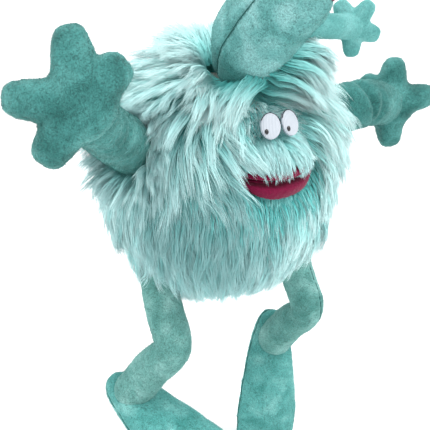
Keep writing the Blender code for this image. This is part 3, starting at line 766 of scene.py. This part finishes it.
def make_eyes():
    """Knitted white ovals with a stitched edge, and small pupils set low and to one side."""
    white, nodes, links, shader = new_material("eye_white", 0.6, 0.2, 0.3)
    # The knit's colour follows its height: darker in the valleys between stitches and darkest at the tucked edge,
    # which is painted shade.
    knit = ramp(nodes, links, mapped_values(nodes, links)["Y"],
                ((0.0, srgb(84, 96, 122)), (0.45, srgb(178, 186, 196)), (1.0, srgb(216, 220, 226))))
    links.new(knit, shader.inputs["Base Color"])
    black, nodes, links, shader = new_material("pupil", 0.25, 0.0, 0.6)
    place = nodes.new("ShaderNodeTexCoord").outputs["Object"]
    grain = noise_of(nodes, links, place, 3000, 2)
    links.new(ramp(nodes, links, grain, ((0.3, (0.004, 0.004, 0.005, 1)), (0.8, (0.03, 0.03, 0.035, 1)))),
              shader.inputs["Base Color"])
    for side, sign in zip(SIDES, (-1, 1)):
        facing, turn, place = eye_frame(sign)
        shape = bmesh.new()
        rings, steps, pitch = 26, 120, 0.00145
        uv_layer = shape.loops.layers.uv.new("OFBake")
        values = {}
        inner = [shape.verts.new(place + facing * 0.0024)] * steps
        values[inner[0]] = 1.0
        for ring in range(1, rings + 2):
            share = min(1.0, ring / rings)
            row = []
            for step in range(steps):
                angle = 2 * pi * step / steps
                x = EYE_HALF_WIDTH * share * cos(angle)
                y = EYE_HALF_HEIGHT * share * sin(angle)
                rib = 0.5 + 0.5 * cos(2 * pi * x / pitch)
                stitch = 0.5 + 0.5 * cos(2 * pi * (y / 0.0011 + 0.25 * cos(2 * pi * x / pitch)))
                knit_height = 0.35 + 0.65 * rib * (0.45 + 0.55 * stitch)
                dome = 0.0020 * (1 - share ** 4) + 0.0004
                # The tucked edge behind the oval gets a low value: painted shade.
                if ring > rings:
                    point, value = Vector((x, y, -0.0020)), 0.2
                else:
                    point, value = Vector((x, y, dome + 0.00035 * knit_height)), knit_height
                vert = shape.verts.new(place + turn @ point)
                values[vert] = value
                row.append(vert)
            for i in range(steps):
                j = (i + 1) % steps
                corners = (inner[i], row[i], row[j])
                shape.faces.new(corners if inner[i] is inner[j] else (*corners, inner[j]))
            inner = row
        shape.faces.new(inner)
        for face in shape.faces:
            for loop in face.loops:
                loop[uv_layer].uv = (0.5, values[loop.vert])
        eye = add_piece(f"eye_{side}_knit", mesh_of(shape, f"eye_{side}"), white)
        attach(eye, "root")
        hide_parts(f"eye_white_{side}")
        rim = []
        for step in range(22):
            angle = radians(15 + 7 * step)
            rim.append(place + turn @ Vector((EYE_HALF_WIDTH * 0.99 * cos(angle),
                                              EYE_HALF_HEIGHT * 0.99 * sin(angle), 0.0006)))
        shape = bmesh.new()
        add_tube(shape, rim, [0.0005] * len(rim), 8, False)
        thread = add_piece(f"eye_{side}_thread", mesh_of(shape, f"eye_{side}_thread"), EYE_THREAD)
        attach(thread, "root")
        pupil_place = place + turn @ Vector((-0.0044, -0.0062, 0.0018))
        shape = bmesh.new()
        add_ball(shape, 28, 16, 0.0021)
        bmesh.ops.scale(shape, verts=shape.verts, vec=(1, 1.30, 0.50))
        bmesh.ops.rotate(shape, verts=shape.verts, matrix=turn)
        bmesh.ops.translate(shape, verts=shape.verts, vec=pupil_place)
        pupil = add_piece(f"pupil_{side}_stitched", mesh_of(shape, f"pupil_{side}"), black)
        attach(pupil, "root")
        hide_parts(f"pupil_{side}")


# ---------------------------------------------------------------- fur

def unit(vectors):
    return vectors / np.maximum(np.linalg.norm(vectors, axis=-1, keepdims=True), 1e-9)


CENTRE_A = np.array(CENTRE)
RADII_A = np.array(BODY_RADII)
SNOUT_A = np.array(SNOUT_CENTRE)
SNOUT_RADII_A = np.array(SNOUT_RADII)
CREST_FOOT = np.array(CREST_ROOT)
FURTHEST_BACK = CAD_BOX[1].y + 0.014
MOUTH_MIDDLE = np.array((0, -0.100, MOUTH_LEVEL))
EYES_A = [np.array(eye_frame(sign)[2]) for sign in (-1, 1)]
EYE_TURNS = [np.array(eye_frame(sign)[1]) for sign in (-1, 1)]
# What the fur lies round: each limb from its first joint to its second, and the second head's neck.
LIMBS = [(JOINTS[f"{side}_{first}"], JOINTS[f"{side}_{second}"], radius * 1.04)
         for side in SIDES
         for first, second, radius in (("shoulder", "elbow", SHOULDER_RADIUS), ("hip", "knee", LEG_RADIUS))]
NECK = (CREST_ROOT - Vector((0, 0, 0.02)), CREST_ROOT.lerp(CREST_HEAD, 0.75), CREST_NECK_RADIUS)


def ball_normal(points):
    return unit((points - CENTRE_A) / RADII_A ** 2)


def snout_normal(points):
    return unit((points - SNOUT_A) / SNOUT_RADII_A ** 2)


def outside(points, centre, radii):
    """Moves the points that are inside an ellipsoid out to its surface."""
    away = (points - centre) / radii
    size = np.linalg.norm(away, axis=-1, keepdims=True)
    return np.where(size < 1, centre + away / np.maximum(size, 1e-6) * radii, points)


def outside_tube(points, start, end, radius):
    """Moves the points that are inside a round-ended tube out to its surface."""
    start, end = np.array(start), np.array(end)
    axis = end - start
    share = np.clip(((points - start) @ axis) / (axis @ axis), 0, 1)
    nearest = start + share[..., None] * axis
    away = points - nearest
    size = np.linalg.norm(away, axis=-1, keepdims=True)
    return np.where(size < radius, nearest + away / np.maximum(size, 1e-6) * radius, points)


def flow_at(points, normals):
    """The way the pile lies: down from the crown, past the eyes, and in from the brow to the muzzle."""
    way = np.zeros_like(points)
    way[:, 2] = -1
    way[:, 0] += 0.30 * smooth_noise(points, 34, 2.0)
    way[:, 1] += 0.30 * smooth_noise(points, 34, 7.0)
    way[:, 0] += 0.22 * smooth_noise(points, 90, 4.0)
    from_brow = points - (CENTRE_A + np.array((-0.045, -0.085, 0.058)))
    share = np.exp(-(from_brow ** 2).sum(axis=1) / 0.036 ** 2)[:, None]
    way += share * np.array((1.1, -0.35, 0.1))
    for eye in EYES_A:
        from_eye = points - eye
        far = np.linalg.norm(from_eye, axis=1, keepdims=True)
        way += from_eye / np.maximum(far, 1e-6) * np.exp(-(far / 0.022) ** 2) * 1.3
    from_parting = points - (CENTRE_A + np.array((0.002, -0.088, 0.098)))
    share = np.exp(-(from_parting ** 2).sum(axis=1) / 0.032 ** 2)
    way[:, 0] += share * np.sign(from_parting[:, 0]) * 1.1
    high = np.clip((points[:, 2:3] - CENTRE_A[2] - 0.055) / 0.05, 0, 1)
    outward = points - CREST_FOOT
    outward[:, 2] = 0
    way += high * unit(outward) * 1.5
    tangent = way - (way * normals).sum(axis=1, keepdims=True) * normals
    return unit(tangent)


def march(roots, lengths, lifts, heights, stiff, steps, normal_of, droop, body=True, start=None):
    """Centre lines that leave the skin at a slant, then lie along the pile and droop."""
    points = roots.copy()
    normals = normal_of(points)
    way = unit(normals * lifts[:, None] + flow_at(points, normals) * (1.15 - lifts[:, None]))
    if start is not None:
        way = unit(start)
    line = [points.copy()]
    centre, radii = (CENTRE_A, RADII_A) if body else (SNOUT_A, SNOUT_RADII_A)
    for _ in range(steps):
        points = points + way * (lengths / steps)[:, None]
        if body:
            points = outside(points, CENTRE_A, RADII_A + 0.001)
            points = outside(points, SNOUT_A, SNOUT_RADII_A + 0.004)
        else:
            points = outside(points, SNOUT_A, SNOUT_RADII_A + 0.0015)
        for limb in LIMBS:
            points = outside_tube(points, *limb)
        points = outside_tube(points, *NECK)
        points[:, 1] = np.minimum(points[:, 1], FURTHEST_BACK)
        line.append(points.copy())
        normals = normal_of(points)
        above = (np.linalg.norm((points - centre) / radii, axis=1) - 1) * radii.mean()
        wanted = flow_at(points, normals) + normals * np.clip((heights - above) / 0.02, -0.6, 0.6)[:, None]
        wanted[:, 2] -= droop
        way = unit(way * stiff + unit(wanted) * (1 - stiff))
    return np.stack(line, axis=1)


def resampled(lines, count, shares=None):
    """The lines with another number of points, each up to its share of the length."""
    last = lines.shape[1] - 1
    shares = np.ones(len(lines)) if shares is None else shares
    places = np.linspace(0, 1, count)[None] * shares[:, None] * last
    low = np.minimum(places.astype(int), last - 1)
    part = (places - low)[..., None]
    rows = np.arange(len(lines))[:, None]
    return lines[rows, low] * (1 - part) + lines[rows, low + 1] * part


def on_mouth(points, reach):
    """Whether points lie in front of the lips; reach is how far down the upper lip a strand may hang."""
    x, z = points[..., 0], points[..., 2]
    fullness = np.clip(1 - np.abs(x / (MOUTH_HALF + 0.006)) ** 3.2, 0, 1) ** 0.6
    level = z - (MOUTH_LEVEL - 0.002 + MOUTH_RISE * (x / MOUTH_HALF) ** 2)
    return ((level < LIP_HEIGHTS[1] * fullness * reach) & (level > -(LIP_HEIGHTS[-1] + 0.001) * fullness)
            & (fullness > 0) & (points[..., 1] < CENTRE_A[1] - 0.05))


def on_eye(points):
    """Whether points lie in front of an eye, in a cone that widens toward the viewer."""
    hidden = np.zeros(points.shape[:-1], bool)
    for place, turn in zip(EYES_A, EYE_TURNS):
        local = (points - place) @ turn
        wider = 0.0004 - 0.32 * np.clip(local[..., 2] - 0.002, 0, None)
        across, up = local[..., 0] / (EYE_HALF_WIDTH - wider), local[..., 1] / (EYE_HALF_HEIGHT - wider)
        hidden |= (across ** 2 + up ** 2 < 1) & (local[..., 2] > -0.003)
    return hidden


def cleared(strands, shades, rng, each, hang=(0.95, 1.0), least=0.30):
    """Ends each lock where it would cross an eye or the mouth, and drops strands that would be too short."""
    fine = resampled(strands, 19)
    reach = np.repeat(rng.uniform(*hang, (len(strands) // each, 1)), each, axis=0)
    reach = reach + rng.normal(0, 0.10, (len(strands), 1))
    covered = on_mouth(fine, reach) | on_eye(fine)
    first = np.where(covered.any(axis=1), covered.argmax(axis=1), 19)
    shares = np.where(first < 19, np.maximum(first - 1, 0) / 18, 1.0)
    kept = shares >= least
    return resampled(strands[kept], strands.shape[1], shares[kept]), shades[kept]


def smooth_noise(points, scale, offset=0.0):
    """Cheap repeatable noise from summed waves, about -1 to 1."""
    p = points * scale + offset
    return (np.sin(p[..., 0] * 1.7 + 2.1 * np.sin(p[..., 1] * 1.3 + p[..., 2]))
            + np.sin(p[..., 1] * 2.3 + 1.7 * np.sin(p[..., 2] * 1.1 - p[..., 0]))
            + np.sin(p[..., 2] * 1.9 + 1.9 * np.sin(p[..., 0] * 1.5 + p[..., 1]))) / 3


def strands_from(lines, normals, count, spread, gather, wave, rng, shades):
    """Strands round each centre line, which start apart and come together in a pointed lock."""
    clumps, points = lines.shape[:2]
    side = unit(np.cross(normals, rng.normal(size=(clumps, 3))))
    other = np.cross(normals, side)
    angle = rng.uniform(0, 2 * pi, (clumps, count))
    radius = np.sqrt(rng.uniform(0, 1, (clumps, count))) * spread
    offset = side[:, None] * np.cos(angle)[..., None] + other[:, None] * np.sin(angle)[..., None]
    offset = offset * radius[..., None]
    t = np.linspace(0, 1, points)
    closing = 1 - gather * (3 * t ** 2 - 2 * t ** 3)
    strands = lines[:, None] + offset[:, :, None] * closing[None, None, :, None]
    phase = rng.uniform(0, 2 * pi, (clumps, 1, 1)) + rng.normal(0, 0.35, (clumps, count, 1))
    swing = np.sin(phase + t[None, None] * rng.uniform(2.5, 6.0, (clumps, 1, 1))) * wave * t[None, None]
    swing *= rng.uniform(0.3, 1.5, (clumps, 1, 1))
    strands = strands + side[:, None, None] * swing[..., None]
    fly = rng.normal(0, 1, (clumps, count, 1, 3)) * (t ** 1.6)[None, None, :, None] * spread * 0.22
    strands = strands + fly
    reach = rng.uniform(0.72, 1.0, (clumps, count, 1, 1))
    strands = strands[:, :, :1] + (strands - strands[:, :, :1]) * reach
    shade = np.clip(shades[:, None] + rng.normal(0, 0.13, (clumps, count)), 0.02, 0.98)
    return strands.reshape(-1, points, 3), shade.reshape(-1)


def strand_mesh(name, lines, shades, rng, root_radius):
    """Three-sided strands that taper to a point, each a closed solid."""
    count, points = lines.shape[:2]
    tangent = unit(np.gradient(lines, axis=1))
    side = unit(np.cross(tangent, rng.normal(size=(count, 1, 3))))
    other = np.cross(tangent, side)
    t = np.linspace(0, 1, points)
    radius = root_radius * (0.75 + 0.5 * t) * (1 - t ** 3)
    rings = []
    for turn in (0, 2 * pi / 3, 4 * pi / 3):
        rings.append(lines + (side * cos(turn) + other * sin(turn)) * radius[None, :, None])
    body = np.stack(rings, axis=2)[:, :-1].reshape(count, -1, 3)
    verts = np.concatenate([body, lines[:, -1:]], axis=1)
    each = verts.shape[1]
    around = np.concatenate([body - np.repeat(lines[:, :-1], 3, axis=1), np.zeros((count, 1, 3))], axis=1)
    facing = unit(0.8 * ball_normal(verts) + 0.35 * unit(around) + (0, 0, 0.15))
    quads = [(3 * ring + k, 3 * ring + (k + 1) % 3, 3 * ring + 3 + (k + 1) % 3, 3 * ring + 3 + k)
             for ring in range(points - 2) for k in range(3)]
    last = 3 * (points - 2)
    tris = [(last + k, last + (k + 1) % 3, each - 1) for k in range(3)] + [(2, 1, 0)]
    starts = (np.arange(count) * each)[:, None, None]
    quad_faces = (np.array(quads)[None] + starts).reshape(-1, 4)
    tri_faces = (np.array(tris)[None] + starts).reshape(-1, 3)
    mesh = mesh_from(name, verts.reshape(-1, 3), [quad_faces, tri_faces])
    along = np.append(np.repeat(t[:-1], 3), 1.0)
    uv = np.stack([np.repeat(shades, each), np.tile(along, count)], axis=1).astype(np.float32)
    layer = mesh.uv_layers.new(name="OFBake")
    corners = np.concatenate([quad_faces.ravel(), tri_faces.ravel()])
    layer.data.foreach_set("uv", uv[corners].ravel())
    mesh.normals_split_custom_set_from_vertices(facing.reshape(-1, 3).tolist())
    return mesh


def add_fur(name, lines, shades, rng, most, material=LONG_FUR, body="root", root_radius=0.00026):
    """The strands as pieces of limited size, each with the strands of one side of the body."""
    past = np.maximum(lines[..., 1] - (CAD_BOX[1].y + 0.009), 0)
    lines[..., 1] -= 0.55 * past
    order = np.argsort(np.arctan2(lines[:, 0, 0], -(lines[:, 0, 1] - CENTRE_A[1])))
    groups = np.array_split(order, max(1, -(-len(order) // most)))
    for i, group in enumerate(groups):
        mesh = strand_mesh(name, lines[group], shades[group], rng, root_radius)
        label = f"{name}_{i + 1:02d}" if len(groups) > 1 else name
        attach(add_piece(label, mesh, material), body)


def spread_roots(count, rng):
    """Points spread evenly over the round body."""
    i = np.arange(count) + 0.5
    height = 1 - 2 * i / count
    turn = pi * (1 + 5 ** 0.5) * i
    ring = np.sqrt(1 - height ** 2)
    ways = np.stack([ring * np.cos(turn), ring * np.sin(turn), height], axis=1)
    ways = unit(ways + rng.normal(0, 0.35 / count ** 0.5, ways.shape))
    return CENTRE_A + ways * RADII_A


def body_roots(count, rng):
    """Roots on the fur covers: none at the mouth, the eyes, the limbs, the neck or the hand opening."""
    points = spread_roots(count, rng)
    keep = np.linalg.norm((points - SNOUT_A) / (SNOUT_RADII_A + 0.003), axis=1) > 1
    keep &= ~((np.hypot(points[:, 0], points[:, 2]) < HEM_RADIUS) & (points[:, 1] > CENTRE_A[1]))
    for eye in EYES_A:
        keep &= np.linalg.norm(points - eye, axis=1) > EYE_HALF_HEIGHT * 0.95
    for start, end, radius in (*LIMBS, NECK):
        keep &= np.linalg.norm(outside_tube(points, start, end, radius * 0.92) - points, axis=1) < 1e-6
    return points[keep]


def body_lengths(points, longest, rng):
    """Long on the crown and cheeks, short near the eyes and under the body."""
    local = points - CENTRE_A
    length = np.full(len(points), longest) * rng.uniform(0.75, 1.15, len(points))
    under = np.clip((-local[:, 2] - 0.085) / 0.03, 0, 1)
    length *= 1 - 0.40 * under
    length *= 1 + 0.20 * np.clip(local[:, 2] / 0.08, 0, 1)
    near = np.min([np.linalg.norm(points - eye, axis=1) for eye in EYES_A], axis=0)
    above = (local[:, 2] > 0.062) & (np.abs(local[:, 0]) < 0.034) & (local[:, 1] < -0.03)
    length = np.where(above, np.minimum(length, 0.012 + np.maximum(0, near - 0.022) * 0.8), length)
    return length


def make_body_fur():
    rng = np.random.default_rng(11)
    for count, longest, each, spread, gather, wave in ((1700, 0.058, 40, 0.0085, 0.74, 0.0065),
                                                       (1900, 0.046, 15, 0.0045, 0.82, 0.0045)):
        roots = body_roots(count, rng)
        local = roots - CENTRE_A
        lengths = body_lengths(roots, longest, rng)
        lifts = 0.42 + 0.12 * rng.normal(size=len(roots))
        crown = np.clip((local[:, 2] - 0.02) / 0.07, 0, 1)
        right = np.clip((local[:, 0] + 0.01) / 0.05, 0, 1)
        top = np.clip((local[:, 2] - 0.078) / 0.02, 0, 1) * (local[:, 1] < 0.02)
        raised = np.maximum(crown * right, top)
        lifts += 0.40 * raised + 0.10 * crown
        heights = rng.uniform(0.007, 0.019, len(roots)) + 0.026 * raised
        by_mouth = np.exp(-(((local - MOUTH_MIDDLE) / (0.066, 0.06, 0.034)) ** 2).sum(axis=1))
        lengths *= 1 - 0.35 * by_mouth
        lifts -= 0.25 * by_mouth
        heights *= 1 - 0.75 * by_mouth
        lines = march(roots, lengths, np.clip(lifts, 0.2, 0.95), heights, 0.64, 6, ball_normal, 0.25)
        # Tone per lock: random, plus painted light that makes the crown and the +x side lighter, and a painted
        # shade patch on the front of the -x side, by the near arm.
        shades = 0.5 + 0.25 * smooth_noise(roots, 45) + rng.normal(0, 0.16, len(roots)) + 0.22 * crown
        shades += 0.30 * right
        # Painted shade under the near arm.
        shades -= 0.95 * np.exp(-(((local - (-0.075, -0.08, -0.008)) / 0.052) ** 2).sum(axis=1))
        strands, shade = strands_from(lines, ball_normal(roots), each, spread, gather, wave, rng, shades)
        strands, shade = cleared(strands, shade, rng, each)
        add_fur(f"fur_{each}", strands, shade, rng, 5900)
    make_collar(rng)
    make_cuffs(rng)
    roots = body_roots(7000, rng)
    lengths = np.minimum(body_lengths(roots, 0.026, rng), 0.026)
    lifts, heights = np.full(len(roots), 0.6), np.full(len(roots), 0.008)
    lines = march(roots, lengths, lifts, heights, 0.5, 3, ball_normal, 0.1)
    shades = rng.uniform(0.2, 0.6, len(roots))
    strands, shade = strands_from(lines, ball_normal(roots), 3, 0.002, 0.3, 0.001, rng, shades)
    strands, shade = cleared(strands, shade, rng, 3)
    add_fur("under_fur", strands, shade, rng, 12000, UNDER_FUR, root_radius=0.00045)


def ring_roots(foot, axis, radius, wander, count, rng, flat=1.0):
    """Roots on the round body in a ring about an axis, and the way out from the axis at each."""
    across = unit(np.cross(axis, (0, 0, 1.0))) if abs(axis[2]) < 0.7 else np.array((1.0, 0, 0))
    other = np.cross(axis, across)
    turn = rng.uniform(0, 2 * pi, (count, 1))
    ring = np.cos(turn) * across * flat + np.sin(turn) * other
    away = unit(foot + ring * (radius + rng.uniform(*wander, (count, 1))) - CENTRE_A)
    return CENTRE_A + away / np.linalg.norm(away / RADII_A, axis=1, keepdims=True), ring


def make_collar(rng):
    """Fur round the foot of the second head, which leans on it and falls outward, parted above the eyes."""
    count = 560
    axis = unit(np.array(CREST_HEAD) - CREST_FOOT)
    wander = (-0.006, 0.014)
    roots, ring = ring_roots(CREST_FOOT, np.array((0, 0, 1.0)), 0.040, wander, count, rng, CREST_WIDTH)
    front = np.clip(-ring[:, 1], 0, 1)
    climb = np.clip(-0.80 * ring[:, 1] + 0.80 * ring[:, 0], 0, 1) * rng.uniform(0, 0.045, count)
    roots = roots + climb[:, None] * axis
    start = axis * (0.6 + 0.4 * front[:, None]) + (0, 0, 0.5) * (1 - front[:, None])
    start = start * rng.uniform(0.8, 1.3, (count, 1))
    start += ring * rng.uniform(0.15, 0.50, (count, 1))
    side = np.where(roots[:, 0] < -0.002, -1.0, 1.0)
    sweep = np.stack([0.95 * side, np.full(count, -0.20), np.where(side < 0, -0.22, 0.05)], axis=1)
    share = np.clip(1.25 * front, 0, 1)[:, None]
    start = start * (1 - share) + sweep * share + rng.normal(0, 0.10, (count, 3))
    lengths = rng.uniform(0.046, 0.068, count)
    lifts, heights = 0.9 - 0.5 * front, 0.040 - 0.012 * front
    lines = march(roots, lengths, lifts, heights, 0.80, 8, ball_normal, 0.40, start=start)
    # Lighter than the body fur: painted light on the top of the head, plus random tone.
    shades = 0.90 + rng.normal(0, 0.14, count)
    strands, shade = strands_from(lines, ball_normal(roots), 30, 0.0065, 0.80, 0.006, rng, shades)
    strands, shade = cleared(strands, shade, rng, 30, least=0.75)
    add_fur("collar_fur", strands, shade, rng, 4300)


def make_cuffs(rng):
    """Fur that hangs over the start of each arm."""
    count = 170
    for side in SIDES:
        shoulder, elbow = (np.array(JOINTS[f"{side}_{joint}"]) for joint in ("shoulder", "elbow"))
        axis = unit(elbow - shoulder)
        roots, ring = ring_roots(shoulder, axis, 0.028, (-0.003, 0.006), count, rng)
        start = axis * rng.uniform(0.9, 1.4, (count, 1)) + ring * 0.35 + rng.normal(0, 0.15, (count, 3))
        lengths = rng.uniform(0.030, 0.052, count) + (0.012 if side == "right" else 0)
        lifts, heights = np.full(count, 0.7), np.full(count, 0.036)
        lines = march(roots, lengths, lifts, heights, 0.86, 7, ball_normal, 0.9, start=start)
        shades = 0.5 + rng.normal(0, 0.16, count)
        strands, shade = strands_from(lines, ball_normal(roots), 26, 0.0050, 0.80, 0.005, rng, shades)
        add_fur(f"{side}_cuff_fur", strands, shade, rng, 4900)


def snout_roots(count, low, high, rng):
    """Roots on the front of the snout, between two levels above its middle."""
    level = rng.uniform(low, high, count)
    turn = rng.uniform(0, pi, count)
    squeeze = np.sqrt(1 - (level / SNOUT_RADII_A[2]) ** 2)
    across, ahead = -np.cos(turn) * SNOUT_RADII_A[0] * squeeze, -np.sin(turn) * SNOUT_RADII_A[1] * squeeze
    points = SNOUT_A + np.stack([across, ahead, level], axis=1)
    return points[np.linalg.norm((points - CENTRE_A) / (RADII_A - 0.004), axis=1) > 1]


def make_snout_fur():
    rng = np.random.default_rng(23)
    roots = snout_roots(720, 0.0085, 0.0415, rng)
    drop = roots[:, 2] - MOUTH_LEVEL - rng.uniform(-0.004, 0.010, len(roots))
    lengths = np.clip(drop * 1.25, 0.007, 0.034)
    lifts, heights = np.full(len(roots), 0.45), np.full(len(roots), 0.006)
    lines = march(roots, lengths, lifts, heights, 0.55, 5, snout_normal, 0.3, False)
    shades = 0.64 + 0.14 * smooth_noise(roots, 80) + rng.normal(0, 0.11, len(roots))
    strands, shade = strands_from(lines, snout_normal(roots), 16, 0.0034, 0.92, 0.0024, rng, shades)
    strands, shade = cleared(strands, shade, rng, 16, (-0.4, 0.0), 0.25)
    add_fur("muzzle_fur", strands, shade, rng, 7500, FACE_FUR)
    roots = snout_roots(700, -0.0415, -0.0155, rng)
    lengths = rng.uniform(0.028, 0.042, len(roots))
    lifts, heights = np.full(len(roots), 0.45), np.full(len(roots), 0.009)
    lines = march(roots, lengths, lifts, heights, 0.6, 5, snout_normal, 0.3)
    shades = 0.55 + 0.14 * smooth_noise(roots, 80) + rng.normal(0, 0.12, len(roots))
    strands, shade = strands_from(lines, snout_normal(roots), 18, 0.0045, 0.80, 0.0035, rng, shades)
    strands, shade = cleared(strands, shade, rng, 18)
    add_fur("chin_fur", strands, shade, rng, 7500, body="lower_jaw")


# ---------------------------------------------------------------- stage

def make_stage():
    lowest = CAD_BOX[0].z
    shape = bmesh.new()
    bmesh.ops.create_grid(shape, x_segments=1, y_segments=1, size=12)
    bmesh.ops.translate(shape, verts=shape.verts, vec=(0, 0, lowest - 0.002))
    mesh = mesh_of(shape, "floor")
    floor = bpy.data.objects.new("floor", mesh)
    bpy.context.scene.collection.objects.link(floor)
    mesh.materials.append(cloth_material("floor", (0.93, 0.93, 0.93, 1), 3, 0.01, 0.6, 0.0))
    make_world()
    _, right, up, back = view_axes()
    for name, energy, way in (("key", 1.7, right * 0.8 + up + back * 0.5),
                              ("fill", 1.3, -right * 0.8 + up * 1.1 + back * 0.4)):
        sun = bpy.data.lights.new(name, "SUN")
        sun.energy = energy
        sun.angle = radians(30)
        lamp = bpy.data.objects.new(name, sun)
        lamp.rotation_euler = way.to_track_quat("Z", "Y").to_euler()
        bpy.context.scene.collection.objects.link(lamp)


def make_world():
    """Soft white light from all round."""
    world = bpy.data.worlds.new("studio")
    bpy.context.scene.world = world
    world.use_nodes = True
    background = world.node_tree.nodes["Background"]
    background.inputs["Color"].default_value = (1, 1, 1, 1)
    background.inputs["Strength"].default_value = 1.0


def view_axes():
    """Where the photograph's camera stands, and the ways right, up and back in its picture."""
    azimuth, elevation, distance = radians(33), radians(20), 0.65
    back = Vector((-sin(azimuth) * cos(elevation), -cos(azimuth) * cos(elevation), sin(elevation)))
    right = Vector((cos(azimuth), -sin(azimuth), 0))
    return CENTRE + back * distance, right, back.cross(right), back


def make_camera():
    """From the puppet's right front and a little above."""
    place, right, up, _ = view_axes()
    camera = bpy.data.cameras.new("camera")
    camera.sensor_width = 36
    camera.lens = 49.47
    eye = bpy.data.objects.new("camera", camera)
    eye.location = place
    target = CENTRE - right * 0.0055 - up * 0.0451
    eye.rotation_euler = (target - eye.location).to_track_quat("-Z", "Y").to_euler()
    bpy.context.scene.collection.objects.link(eye)
    bpy.context.scene.camera = eye


def dress_frame():
    """Materials for the frame's own nodes that stay."""
    looks = {"long_fur": BACKING, "filling": WADDING, "mouth_velour": VELOUR, "board": BOARD,
             "webbing": WEBBING, "lining_cloth": LINING, "short_plush": PLUSH_CREST}
    slots = {part["node"]: part["material_slot"] for part in frame["record"]["subparts"]}
    for name, node in frame["nodes"].items():
        look = looks.get(slots.get(name))
        if look:
            node.data.materials.clear()
            node.data.materials.append(look)


dress_frame()
for index in range(2):
    make_arm(index)
    make_leg(index)
    make_foot(index)
make_crest()
make_crest_mouth()
make_crest_hand()
make_mouth()
make_eyes()
make_body_fur()
make_snout_fur()
make_stage()
make_camera()
bpy.context.scene.view_settings.view_transform = "Standard"
